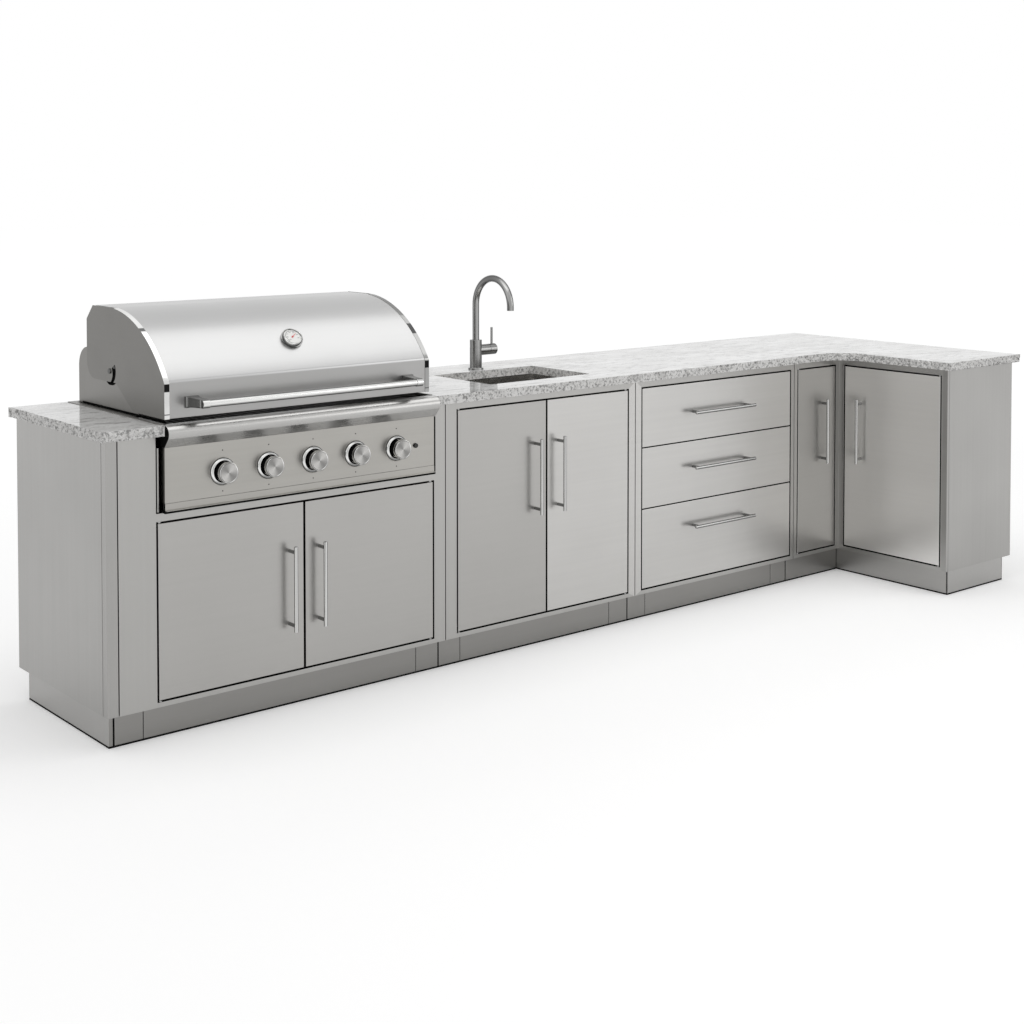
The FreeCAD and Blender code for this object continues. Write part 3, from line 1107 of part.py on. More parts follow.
def knob_bezels():
    profile = [(BEZEL_HOLE, 0), (BEZEL_RADIUS, 0), (BEZEL_RADIUS, BEZEL - BEZEL_BEVEL),
               (BEZEL_RADIUS - BEZEL_BEVEL, BEZEL), (BEZEL_HOLE, BEZEL)]
    ring = turned_profile(profile)
    return group(on_axis(ring, vec(x, FASCIA_FRONT, KNOB_Z), vec(0, -1, 0)) for x in KNOB_XS)


def knob(x):
    """A solid turned knob: face drum, neck, and the spindle that reaches into the valve."""
    neck_start = 1.0
    neck_end = neck_start + KNOB_NECK
    face_end = neck_end + KNOB_FACE
    back = -SPINDLE_LENGTH
    points = [(0, back), (SPINDLE_RADIUS, back), (SPINDLE_RADIUS, neck_start), (KNOB_NECK_RADIUS, neck_start),
              (KNOB_NECK_RADIUS, neck_end), (KNOB_RADIUS, neck_end), (KNOB_RADIUS, face_end), (0, face_end)]
    return on_axis(turned_profile(points), vec(x, FASCIA_FRONT, KNOB_Z), vec(0, -1, 0))


def igniter_button():
    points = [(0, -BUTTON_STEM), (BUTTON_STEM_RADIUS, -BUTTON_STEM), (BUTTON_STEM_RADIUS, 0),
              (BUTTON_RADIUS, 0), (BUTTON_RADIUS, BUTTON_PROUD - 1), (BUTTON_RADIUS - 1, BUTTON_PROUD),
              (0, BUTTON_PROUD)]
    return on_axis(turned_profile(points), vec(BUTTON_X, FASCIA_FRONT, KNOB_Z), vec(0, -1, 0))


def gas_manifold():
    """The gas pipe strapped to the tub behind the fascia, its valves and orifices, and the rear feed."""
    ends = (KNOB_XS[0] - 60, INLET_X + PIPE_RADIUS + 4)
    pipe = rod(PIPE_RADIUS, vec(ends[0], PIPE_Y, KNOB_Z), ALONG_X, ends[1] - ends[0])
    pieces = [pipe]
    for x in KNOB_XS:
        pieces.append(rod(VALVE_RADIUS, vec(x, VALVE_FRONT, KNOB_Z), ALONG_Y, PIPE_Y - VALVE_FRONT))
        pieces.append(box(x - 9, x + 9, PIPE_Y - 9, PIPE_Y + 9, KNOB_Z, BURNER_Z + 9))
        pieces.append(rod(ORIFICE_RADIUS, vec(x, PIPE_Y, BURNER_Z), ALONG_Y, FIREBOX_FRONT - PIPE_Y))
    pieces.append(rod(FEED_RADIUS, vec(INLET_X, PIPE_Y, INLET_Z), ALONG_Z, KNOB_Z - INLET_Z))
    pieces.append(box(INLET_X - ELBOW, INLET_X + ELBOW, PIPE_Y - ELBOW, PIPE_Y + ELBOW,
                      INLET_Z - ELBOW, INLET_Z + ELBOW))
    pieces.append(rod(FEED_RADIUS, vec(INLET_X, PIPE_Y, INLET_Z), ALONG_Y, PANEL_DEPTH - PIPE_Y - 1))
    pieces.append(rod(INLET_RADIUS, vec(INLET_X, PANEL_DEPTH - INLET_SPIGOT, INLET_Z), ALONG_Y, INLET_SPIGOT))
    for x in (KNOB_XS[0] + KNOB_PITCH / 2, KNOB_XS[-1] - KNOB_PITCH / 2):
        pieces.append(box(x - STRAP / 2, x + STRAP / 2, PIPE_Y, FIREBOX_FRONT, KNOB_Z - STRAP / 2,
                          KNOB_Z + STRAP / 2))
    manifold = fused(pieces)
    spindle_tip = FASCIA_FRONT + SPINDLE_LENGTH
    for x in KNOB_XS:
        manifold = manifold.cut(rod(SPINDLE_RADIUS + TURN_GAP, vec(x, VALVE_FRONT - 1, KNOB_Z), ALONG_Y,
                                    spindle_tip - VALVE_FRONT + 1 + SEAT_GAP))
    return manifold


# Firebox and what it holds


def firebox():
    """A four-sided tub, open above and below, with ledges for tents, burners and grates."""
    x0, x1, y0, y1 = FIREBOX_LEFT, FIREBOX_RIGHT, FIREBOX_FRONT, FIREBOX_BACK
    s = HOUSING_SHEET
    walls = box(x0, x1, y0, y1, FIREBOX_BOTTOM, FIREBOX_TOP)
    walls = walls.cut(box(x0 + s, x1 - s, y0 + s, y1 - s, FIREBOX_BOTTOM - 1, FIREBOX_TOP + 1))
    floor = box(x0, x1, y0, y1, FIREBOX_BOTTOM, FIREBOX_BOTTOM + s)
    floor = floor.cut(box(x0 + FIREBOX_LIP, x1 - FIREBOX_LIP, y0 + FIREBOX_LIP, y1 - FIREBOX_LIP,
                          FIREBOX_BOTTOM - 1, FIREBOX_BOTTOM + s + 1))
    ledges = [box(x0, x1, y0, y0 + LEDGE, z - s, z) for z in (TENT_LEDGE,)]
    ledges += [box(x0, x1, y1 - LEDGE, y1, z - s, z) for z in (TENT_LEDGE, BURNER_LEDGE)]
    hangers = [box(WING_LEFT + s, x0 + 1, y0, y1, FIREBOX_TOP - s, FIREBOX_TOP),
               box(x1 - 1, WING_RIGHT - s, y0, y1, FIREBOX_TOP - s, FIREBOX_TOP)]
    tub = fused([walls, floor] + ledges + hangers)
    for x in KNOB_XS:
        tub = tub.cut(rod(BURNER_RADIUS + SEAT_GAP, vec(x, y0 - 1, BURNER_Z), ALONG_Y, s + 2))
    return tub


def burners():
    y0 = FIREBOX_FRONT - 8
    y1 = FIREBOX_BACK - HOUSING_SHEET - BURNER_END_GAP
    tubes = []
    for x in KNOB_XS:
        tube = rod(BURNER_RADIUS, vec(x, y0, BURNER_Z), ALONG_Y, y1 - y0)
        tubes.append(tube.cut(rod(BURNER_RADIUS - BURNER_WALL, vec(x, y0 - 1, BURNER_Z), ALONG_Y,
                                  y1 - y0 - BURNER_WALL + 1)))
    return group(tubes)


def heat_tents():
    y0, y1 = FIREBOX_FRONT + HOUSING_SHEET + 1, FIREBOX_BACK - HOUSING_SHEET - 1
    z = TENT_LEDGE
    w, rise, t = TENT_HALF_WIDTH, TENT_RISE, SHEET
    outline = [(-w, z), (-w + 2 * t, z), (0, z + rise - t), (w - 2 * t, z), (w, z), (0, z + rise)]
    tents = []
    for x in KNOB_XS:
        corners = [vec(x + dx, y0, height) for dx, height in outline]
        tents.append(Part.Face(Part.makePolygon(corners + corners[:1])).extrude(vec(0, y1 - y0, 0)))
    return group(tents)


def grate(x0, x1):
    """Hexagonal rods from front to back on two cross bars, which rest on the tub's rim."""
    r = GRATE_ROD / 2
    y0, y1 = FIREBOX_FRONT + 1, FIREBOX_BACK - 1
    pitch = (x1 - x0 - GRATE_ROD) / (GRATE_RODS - 1)
    pieces = []
    for n in range(GRATE_RODS):
        x = x0 + r + n * pitch
        pieces.append(hexagon(r, vec(x, y0, GRATE_TOP - r), ALONG_Y).extrude(vec(0, y1 - y0, 0)))
    for y in (y0, y1 - GRATE_BAR):
        pieces.append(box(x0, x1, y, y + GRATE_BAR, FIREBOX_TOP, GRATE_TOP - r))
    return fused(pieces)


def cooking_grates():
    x0, x1 = FIREBOX_LEFT + 4, FIREBOX_RIGHT - 4
    width = (x1 - x0 - (KNOB_COUNT - 1) * GRATE_GAP) / KNOB_COUNT
    return group(grate(x0 + n * (width + GRATE_GAP), x0 + n * (width + GRATE_GAP) + width)
                 for n in range(KNOB_COUNT))


def drip_tray():
    """A shallow pan on the housing's ledges whose front edge closes the foot of the fascia."""
    x0 = WING_LEFT + HOUSING_SHEET + TRAY_GAP
    x1 = WING_RIGHT - HOUSING_SHEET - TRAY_GAP
    z = TRAY_EDGE_BOTTOM + SEAT_GAP
    pan = sheet_box(x0, x1, FASCIA_FRONT, TRAY_DEPTH, z, z + TRAY_HEIGHT)
    edge = box(FASCIA_LEFT, FASCIA_RIGHT, FASCIA_FRONT - SHEET, FASCIA_FRONT, z, FASCIA_BOTTOM - 2 * SEAT_GAP)
    pull = box(FASCIA_LEFT, FASCIA_RIGHT, FASCIA_FRONT - TRAY_PULL, FASCIA_FRONT, z, z + SHEET)
    return fused([pan, edge, pull])


PIECES = {
    "grill_cabinet": grill_cabinet,
    "sink_cabinet": sink_cabinet,
    "drawer_cabinet": drawer_cabinet,
    "corner_cabinet": corner_cabinet,
    "end_panels": end_panels,
    "plinth_panels": plinth_panels,
    "levelling_feet": levelling_feet,
    "pivot_pins": pivot_pins,
    "drawer_slide_rails": drawer_slide_rails,
    "countertop_left": countertop_left,
    "countertop_sink": countertop_sink,
    "countertop_drawers": countertop_drawers,
    "countertop_corner": countertop_corner,
    "sink_bowl": sink_bowl,
    "sink_waste": sink_waste,
    "faucet_body": faucet_body,
    "faucet_spout": faucet_spout,
    "mixer_cap": mixer_cap,
    "mixer_lever": mixer_lever,
    "grill_housing": grill_housing,
    "firebox": firebox,
    "burners": burners,
    "heat_tents": heat_tents,
    "cooking_grates": cooking_grates,
    "gas_manifold": gas_manifold,
    "front_rail": front_rail,
    "control_panel": control_panel,
    "knob_bezels": knob_bezels,
    "igniter_button": igniter_button,
    "drip_tray": drip_tray,
    "hood_shell": hood_shell,
    "hood_trim_bands": hood_trim_bands,
    "hood_handle": hood_handle,
    "thermometer_case": thermometer_case,
    "thermometer_needle": thermometer_needle,
    "grill_door_left": lambda: door(*GRILL_LEFT),
    "grill_door_right": lambda: door(*GRILL_RIGHT),
    "sink_door_left": lambda: door(*SINK_LEFT),
    "sink_door_right": lambda: door(*SINK_RIGHT),
    "narrow_corner_door": lambda: door(*NARROW),
    "return_door": lambda: to_return(door(*RETURN)),
    "grill_handle_left": lambda: door_handle(GRILL_DOOR_SPLIT - GRILL_BAR_FROM_SPLIT, GRILL_BAR_HEIGHT),
    "grill_handle_right": lambda: door_handle(GRILL_DOOR_SPLIT + GRILL_BAR_FROM_SPLIT, GRILL_BAR_HEIGHT),
    "sink_handle_left": lambda: door_handle(SINK_DOOR_SPLIT - SINK_BAR_FROM_SPLIT, BAR_HEIGHT),
    "sink_handle_right": lambda: door_handle(SINK_DOOR_SPLIT + SINK_BAR_FROM_SPLIT, BAR_HEIGHT),
    "narrow_corner_handle": lambda: door_handle(NARROW_BAR_X, BAR_HEIGHT, CORNER_BAR_REACH),
    "return_handle": lambda: to_return(door_handle(RETURN_BAR_U, BAR_HEIGHT, CORNER_BAR_REACH)),
    "drawer_handle_top": lambda: drawer_handle(TOP_DRAWER_BAR),
    "drawer_handle_middle": lambda: drawer_handle(MIDDLE_DRAWER_BAR),
    "drawer_handle_bottom": lambda: drawer_handle(BOTTOM_DRAWER_BAR),
}


def save(name, shape):
    placed = shape.copy()
    placed.translate(vec(SHIFT_X, SHIFT_Y, 0))
    placed.exportStep(os.path.join("parts", name + ".step"))


os.makedirs("parts", exist_ok=True)
for piece_name, make in PIECES.items():
    save(piece_name, make())
for number, knob_x in enumerate(KNOB_XS, 1):
    save("knob_%d" % number, knob(knob_x))
for drawer_name, (low_edge, high_edge) in DRAWER_BANDS.items():
    save(drawer_name, drawer(low_edge, high_edge))
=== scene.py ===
import json
import math

import bpy
from mathutils import Matrix, Vector

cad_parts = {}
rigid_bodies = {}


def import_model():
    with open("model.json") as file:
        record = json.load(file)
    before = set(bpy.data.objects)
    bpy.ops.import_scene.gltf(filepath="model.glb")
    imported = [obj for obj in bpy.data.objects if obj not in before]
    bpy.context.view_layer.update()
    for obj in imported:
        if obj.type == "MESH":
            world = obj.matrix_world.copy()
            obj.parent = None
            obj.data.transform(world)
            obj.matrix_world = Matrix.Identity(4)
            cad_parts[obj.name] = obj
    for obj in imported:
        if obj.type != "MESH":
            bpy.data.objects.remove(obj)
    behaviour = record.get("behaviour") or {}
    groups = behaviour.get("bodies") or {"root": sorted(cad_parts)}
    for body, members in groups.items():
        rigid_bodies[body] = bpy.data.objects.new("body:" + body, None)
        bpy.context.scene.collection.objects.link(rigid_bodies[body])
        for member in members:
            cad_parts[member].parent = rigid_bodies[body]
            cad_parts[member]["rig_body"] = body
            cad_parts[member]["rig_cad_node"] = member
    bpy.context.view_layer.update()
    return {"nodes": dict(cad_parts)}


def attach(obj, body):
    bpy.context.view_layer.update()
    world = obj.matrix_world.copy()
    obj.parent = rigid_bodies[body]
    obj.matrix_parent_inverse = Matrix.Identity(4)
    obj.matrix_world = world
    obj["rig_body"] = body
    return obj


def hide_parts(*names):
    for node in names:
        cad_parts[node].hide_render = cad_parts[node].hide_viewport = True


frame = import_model()

# Sizes are in millimetres of the drawing: X from the left end panel, Y from the front face,
# Z from the floor.
MM = 0.001
SHIFT = Vector((-1.830, -0.0365, 0.0))
SHEET = 1.5
LEAF = 20.0
COUNTER_TOP = 914.0
SLAB_BOTTOM = 884.0
SLAB_FRONT = -25.0
CORNER_X = 3224.0
RUN_END = 3660.0
DEPTH = 620.0
GRILL_MIDDLE = 660.0
FASCIA_FRONT = -20.0

UP, FORWARD, RIGHT = (0, 0, 1), (0, -1, 0), (1, 0, 0)


def at(x, y, z):
    """A point of the drawing in metres of the frame."""
    return Vector((x, y, z)) * MM + SHIFT


FRONT_FACE = at(0, 0, 0).y
RETURN_FACE = at(CORNER_X, 0, 0).x


# Modelling helpers


def select_none():
    bpy.ops.object.select_all(action="DESELECT")


def select_mesh():
    bpy.ops.mesh.select_all(action="SELECT")


def alone(obj):
    select_none()
    obj.select_set(True)
    bpy.context.view_layer.objects.active = obj
    return obj


def settled(obj):
    """Puts an object's place, turn and scale into its mesh."""
    alone(obj)
    bpy.ops.object.transform_apply(location=True, rotation=True, scale=True)
    return obj


def opened(obj, kind="FACE"):
    alone(obj)
    bpy.ops.object.mode_set(mode="EDIT")
    bpy.ops.mesh.select_mode(type=kind)


def closed(obj):
    bpy.ops.object.mode_set(mode="OBJECT")
    return obj


def pick(obj, kind, test):
    """Opens a piece and selects only the points, edges or faces whose place and way pass a test."""
    if obj.mode != "EDIT":
        opened(obj)
    bpy.ops.mesh.select_mode(type=kind)
    bpy.ops.mesh.select_all(action="DESELECT")
    closed(obj)
    points = obj.data.vertices
    if kind == "VERT":
        for point in points:
            point.select = test(point.co, point.normal)
    elif kind == "EDGE":
        for edge in obj.data.edges:
            a, b = (points[i].co for i in edge.vertices)
            edge.select = test((a + b) / 2, (b - a).normalized())
    else:
        for face in obj.data.polygons:
            face.select = test(face.center, face.normal)
    bpy.ops.object.mode_set(mode="EDIT")


def without(obj, test):
    """Opens a piece and takes away the faces that pass a test."""
    pick(obj, "FACE", test)
    bpy.ops.mesh.delete(type="FACE")


def modified(obj, kind, **settings):
    alone(obj)
    modifier = obj.modifiers.new(kind.title(), kind)
    for key, value in settings.items():
        setattr(modifier, key, value)
    bpy.ops.object.modifier_apply(modifier=modifier.name)
    return obj


def smooth(obj, angle=40):
    alone(obj)
    bpy.ops.object.shade_smooth_by_angle(angle=math.radians(angle))
    return modified(obj, "WEIGHTED_NORMAL", keep_sharp=True, weight=80)


def eased(obj, width, segments=2, angle=35):
    """Rounds the sharp edges a little, as folding and polishing do."""
    modified(obj, "BEVEL", width=width * MM, segments=segments, limit_method="ANGLE",
             angle_limit=math.radians(angle), use_clamp_overlap=True)
    return smooth(obj)


def thickened(obj, thickness):
    """Gives a bare sheet its thickness, inwards."""
    return modified(obj, "SOLIDIFY", thickness=thickness * MM, offset=-1, use_even_offset=True)


def block(name, low, high):
    """A box between two corners of the drawing."""
    low, high = at(*low), at(*high)
    select_none()
    bpy.ops.mesh.primitive_cube_add(size=1, location=(low + high) / 2)
    obj = bpy.context.object
    obj.name = name
    obj.scale = high - low
    return settled(obj)


def single_point(name):
    """A mesh of one point at the origin, left in edit mode, to draw a line from."""
    select_none()
    bpy.ops.mesh.primitive_plane_add(size=0.001)
    obj = bpy.context.object
    obj.name = name
    bpy.ops.object.mode_set(mode="EDIT")
    bpy.ops.mesh.select_mode(type="VERT")
    select_mesh()
    bpy.ops.mesh.merge(type="CENTER")
    return obj


def step(dx, dy, dz):
    """Extrudes what is selected, by millimetres."""
    bpy.ops.mesh.extrude_region_move(
        TRANSFORM_OT_translate={"value": (dx * MM, dy * MM, dz * MM)})


def merged(outwards=True):
    """Merges the doubles of the open mesh, and turns its faces outwards unless it has none yet."""
    select_mesh()
    bpy.ops.mesh.remove_doubles(threshold=0.000004)
    if outwards:
        bpy.ops.mesh.normals_make_consistent(inside=False)


def stand(obj, origin, axis):
    """Moves a piece made about the origin's Z axis to its place and direction."""
    turn = Vector(axis).normalized().to_track_quat("Z", "Y").to_matrix().to_4x4()
    obj.matrix_world = Matrix.Translation(at(*origin)) @ turn
    return settled(obj)


def lathe(name, points, origin, axis, steps=48, angle=40):
    """Turns (radius, height) points about an axis.

    Where the last point is the first again, the piece is a ring."""
    obj = single_point(name)
    r, z = points[0]
    bpy.ops.transform.translate(value=(r * MM, 0, z * MM))
    for (r0, z0), (r1, z1) in zip(points[:-1], points[1:]):
        step(r1 - r0, 0, z1 - z0)
    select_mesh()
    bpy.ops.mesh.spin(steps=steps, angle=2 * math.pi, center=(0, 0, 0), axis=UP,
                      use_auto_merge=True)
    merged()
    closed(obj)
    stand(obj, origin, axis)
    return smooth(obj, angle)


def bar(name, radius, start, end, chamfer=1.0, steps=32):
    """A round bar with eased ends."""
    start, end = Vector(start), Vector(end)
    length = (end - start).length
    low, waist = 0.3 * chamfer, radius - 0.3 * chamfer
    points = [(0, 0), (radius - chamfer, 0), (waist, low), (radius, chamfer),
              (radius, length - chamfer), (waist, length - low), (radius - chamfer, length),
              (0, length)]
    return lathe(name, points, start, end - start, steps)


def traced(name, start, moves):
    """Draws a line in the plane x = 0, from a start through a list of moves.

    A move is ("to", y, z), or ("arc", y, z, degrees, steps) about a middle."""
    obj = single_point(name)
    y, z = start
    bpy.ops.transform.translate(value=(0, y * MM, z * MM))
    for move in moves:
        if move[0] == "to":
            step(0, move[1] - y, move[2] - z)
            y, z = move[1], move[2]
        else:
            cy, cz, turn, count = move[1:]
            angle = math.radians(turn)
            bpy.ops.mesh.spin(steps=count, angle=-angle, center=(0, cy * MM, cz * MM), axis=RIGHT,
                              use_auto_merge=False)
            dy, dz = y - cy, z - cz
            y = cy + dy * math.cos(angle) - dz * math.sin(angle)
            z = cz + dy * math.sin(angle) + dz * math.cos(angle)
    return obj


def carried(obj, x0, x1, filled):
    """Carries a drawn line from x0 to x1, as a solid or as a bare sheet."""
    merged(outwards=False)
    if filled:
        bpy.ops.mesh.edge_face_add()
    step(x1 - x0, 0, 0)
    merged()
    closed(obj)
    obj.location = at(x0, 0, 0)
    return settled(obj)


def cut(obj, cutter):
    modified(obj, "BOOLEAN", operation="DIFFERENCE", solver="EXACT", object=cutter)
    bpy.data.objects.remove(cutter)
    return obj


def drilled(obj, radius, start, end, *finish):
    return cut(obj, bar("drill", radius, start, end, *finish))


def joined(name, parts):
    select_none()
    for part in parts:
        part.select_set(True)
    bpy.context.view_layer.objects.active = parts[0]
    bpy.ops.object.join()
    parts[0].name = name
    return parts[0]


def copied(obj, name, shift=(0, 0, 0)):
    alone(obj)
    bpy.ops.object.duplicate()
    other = bpy.context.object
    other.name = name
    other.location = Vector(shift) * MM
    return settled(other)


def mirrored(obj, name, middle):
    """A copy on the other side of an upright plane, with its faces turned right again."""
    other = copied(obj, name)
    other.scale = (-1, 1, 1)
    other.location = (2 * (middle * MM + SHIFT.x), 0, 0)
    settled(other)
    opened(other)
    select_mesh()
    bpy.ops.mesh.normals_make_consistent(inside=False)
    return smooth(closed(other))


def to_return(obj):
    """Turns a piece made on the front face to stand on the inner face of the return leg."""
    pivot = Matrix.Translation(-at(0, 0, 0))
    turn = Matrix.Rotation(-math.pi / 2, 4, "Z")
    obj.matrix_world = Matrix.Translation(at(CORNER_X, 0, 0)) @ turn @ pivot
    return settled(obj)


def from_solid(node, name):
    """A copy of a CAD node's mesh with its loose triangles merged into whole faces."""
    alone(frame["nodes"][node])
    bpy.ops.object.duplicate()
    obj = bpy.context.object
    bpy.ops.object.parent_clear(type="CLEAR_KEEP_TRANSFORM")
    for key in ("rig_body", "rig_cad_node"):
        del obj[key]
    obj.name = name
    obj.data.materials.clear()
    opened(obj, "VERT")
    merged(outwards=False)
    bpy.ops.mesh.dissolve_limited(angle_limit=math.radians(0.5))
    return closed(obj)


def painted(obj, material, test=None):
    """Gives a material to the whole piece, or to the faces that pass a test."""
    if test is None:
        obj.data.materials.clear()
        obj.data.materials.append(material)
        return obj
    obj.data.materials.append(material)
    index = len(obj.data.materials) - 1
    for face in obj.data.polygons:
        if test(face.center, face.normal):
            face.material_index = index
    return obj


def fitted(obj, body, slot, *nodes):
    """Hands a finished piece to its body and hides the CAD nodes that it stands for. The slot is
    not used.
    """
    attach(obj, body)
    if nodes:
        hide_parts(*nodes)
    return obj


# Material helpers


def feed(node, inputs):
    """Gives a node's inputs plain values, or links them to other nodes' sockets."""
    for key, value in inputs.items():
        if isinstance(value, bpy.types.NodeSocket):
            node.id_data.links.new(value, node.inputs[key])
        else:
            node.inputs[key].default_value = value
    return node


def add(tree, kind, inputs=None, **settings):
    made = tree.nodes.new(kind)
    for key, value in settings.items():
        setattr(made, key, value)
    return feed(made, inputs or {})


def new_group(name, inputs, outputs):
    tree = bpy.data.node_groups.new(name, "ShaderNodeTree")
    for socket, kind, value in inputs:
        made = tree.interface.new_socket(name=socket, in_out="INPUT", socket_type=kind)
        made.default_value = value
    for socket, kind in outputs:
        tree.interface.new_socket(name=socket, in_out="OUTPUT", socket_type=kind)
    return tree, tree.nodes.new("NodeGroupInput").outputs, tree.nodes.new("NodeGroupOutput")


def placed_group(tree, group, inputs=None):
    return add(tree, "ShaderNodeGroup", inputs, node_tree=group).outputs


def new_material(name, metallic=0.0, roughness=0.5, **constants):
    """A material, its node tree and its shader, which holds what is the same all over."""
    material = bpy.data.materials.new(name)
    material.use_nodes = True
    shader = material.node_tree.nodes["Principled BSDF"]
    feed(shader, {"Metallic": metallic, "Roughness": roughness})
    feed(shader, {key.replace("_", " "): value for key, value in constants.items()})
    return material, material.node_tree, shader


def place_on(tree):
    """The place on the piece."""
    return add(tree, "ShaderNodeTexCoord").outputs["Object"]


def axes(tree, vector):
    """The X, Y and Z of a vector."""
    return add(tree, "ShaderNodeSeparateXYZ", {0: vector}).outputs


def vector_of(tree, x, y=0.0, z=0.0):
    return add(tree, "ShaderNodeCombineXYZ", {0: x, 1: y, 2: z}).outputs[0]


def vector_math(tree, operation, *values):
    made = add(tree, "ShaderNodeVectorMath", dict(enumerate(values)), operation=operation)
    return made.outputs[0]


def worked(tree, operation, *values):
    return add(tree, "ShaderNodeMath", dict(enumerate(values)), operation=operation).outputs[0]


def times(tree, a, b):
    return worked(tree, "MULTIPLY", a, b)


def added(tree, first, second):
    """Adds up the products of two pairs."""
    return worked(tree, "ADD", times(tree, *first), times(tree, *second))


def distance(tree, x, y):
    return worked(tree, "SQRT", added(tree, (x, x), (y, y)))


def noise(tree, vector, scale, detail=2.0, roughness=0.5, result="Fac"):
    sockets = {"Vector": vector, "Scale": scale, "Detail": detail, "Roughness": roughness}
    return add(tree, "ShaderNodeTexNoise", sockets).outputs[result]


def remap(tree, value, low, high, to_low=0.0, to_high=1.0):
    """Carries one range of values over to another, and holds what lies beyond its ends."""
    sockets = {"Value": value, "From Min": low, "From Max": high, "To Min": to_low,
               "To Max": to_high}
    return add(tree, "ShaderNodeMapRange", sockets).outputs["Result"]


def blended(tree, factor, low, high):
    """Mixes two colours, or sockets that carry them, by a factor."""
    low, high = ((*tone, 1.0) if isinstance(tone, tuple) else tone for tone in (low, high))
    return add(tree, "ShaderNodeMix", {0: factor, 6: low, 7: high}, data_type="RGBA").outputs[2]


def bumped(tree, height, strength, depth):
    sockets = {"Height": height, "Strength": strength, "Distance": depth}
    return add(tree, "ShaderNodeBump", sockets).outputs["Normal"]


def toned(colour, share):
    return tuple(min(1.0, part * share) for part in colour)


def grey(tone):
    return (tone, tone, tone)


def brushing_group():
    """Brush marks drawn out along one direction, wider streaks, and the clouds of handled metal."""
    tree, given, result = new_group(
        "brushing", [("Stretch", "NodeSocketVector", (40.0, 900.0, 900.0))],
        [("Fine", "NodeSocketFloat"), ("Streak", "NodeSocketFloat"), ("Cloud", "NodeSocketFloat")])
    place = place_on(tree)
    drawn = vector_math(tree, "MULTIPLY", place, given["Stretch"])
    wide = vector_math(tree, "MULTIPLY", drawn, grey(0.11))
    feed(result, {"Fine": noise(tree, drawn, 1.0, 3.0, 0.6), "Streak": noise(tree, wide, 1.0),
                  "Cloud": noise(tree, place, 2.2)})
    return tree


def dust_group():
    """Small pits and specks, and the fingermarks that every handled surface picks up."""
    tree, given, result = new_group(
        "handling_marks", [("Speck Size", "NodeSocketFloat", 260.0)],
        [("Specks", "NodeSocketFloat"), ("Smears", "NodeSocketFloat")])
    place = place_on(tree)
    cells = add(tree, "ShaderNodeTexVoronoi", {"Vector": place, "Scale": given["Speck Size"]})
    near = remap(tree, cells.outputs["Distance"], 0.05, 0.11, 1.0, 0.0)
    rare = remap(tree, noise(tree, place, 11.0), 0.60, 0.66)
    feed(result, {"Specks": times(tree, near, rare),
                  "Smears": remap(tree, noise(tree, place, 8.0, 5.0, 0.65), 0.42, 0.72)})
    return tree


BRUSHING = brushing_group()
MARKS = dust_group()


def brushed_metal(name, colour, stretch, rough=(0.28, 0.32), contrast=0.022):
    """Bare metal with brush marks along one direction, faint clouds and small specks."""
    material, tree, shader = new_material(name, metallic=1.0)
    brush = placed_group(tree, BRUSHING, {"Stretch": stretch})
    wear = placed_group(tree, MARKS)
    tone = added(tree, (brush["Streak"], 0.3), (brush["Cloud"], 0.7))
    base = blended(tree, remap(tree, tone, 0.34, 0.66), toned(colour, 1 - contrast),
                   toned(colour, 1 + contrast))
    base = blended(tree, times(tree, wear["Specks"], 0.35), base, toned(colour, 0.55))
    uneven = added(tree, (brush["Fine"], 0.7), (wear["Smears"], 0.3))
    feed(shader, {"Base Color": base, "Roughness": remap(tree, uneven, 0.25, 0.75, *rough),
                  "Normal": bumped(tree, brush["Fine"], 0.004, 0.0004)})
    return material


def painted_reflection_metal(name, stops, rough=0.12, dark=()):
    """Polished metal with painted reflection: dark and light bands in its colour, set by how square
    on each face is seen.

    stops lists the bands, from faces seen square on (0) to the outline (1), each with its tone.
    dark lists spans of height that stay at one tone, painted dark reflections, as (low, high,
    tone)."""
    material, tree, shader = new_material(name, metallic=1.0, roughness=rough)
    away = add(tree, "ShaderNodeLayerWeight", {"Blend": 0.5}).outputs["Facing"]
    bands = add(tree, "ShaderNodeValToRGB", {0: away})
    for index, (place, tone) in enumerate(stops):
        elements = bands.color_ramp.elements
        stop = elements[index] if index < 2 else elements.new(place)
        stop.position = place
        stop.color = (tone, tone, tone * 0.985, 1.0)
    smears = times(tree, placed_group(tree, MARKS)["Smears"], 0.12)
    base = blended(tree, smears, bands.outputs[0], grey(0.3))
    for low, high, tone in dark:
        middle, half = (low + high) / 2 * MM, (high - low) / 2 * MM
        height = axes(tree, place_on(tree))["Z"]
        off = worked(tree, "ABSOLUTE", worked(tree, "SUBTRACT", height, middle))
        inside = remap(tree, off, half - MM, half + MM, 1.0, 0.0)
        base = blended(tree, inside, base, grey(tone))
    feed(shader, {"Base Color": base})
    return material


def plain_metal(name, colour, rough):
    """Plated or cast metal: a little uneven in its gloss, with faint smears."""
    material, tree, shader = new_material(name, metallic=1.0)
    smears = placed_group(tree, MARKS)["Smears"]
    feed(shader, {"Base Color": blended(tree, smears, colour, toned(colour, 0.94)),
                  "Roughness": remap(tree, smears, 0.0, 1.0, *rough),
                  "Normal": bumped(tree, smears, 0.04, 0.0003)})
    return material


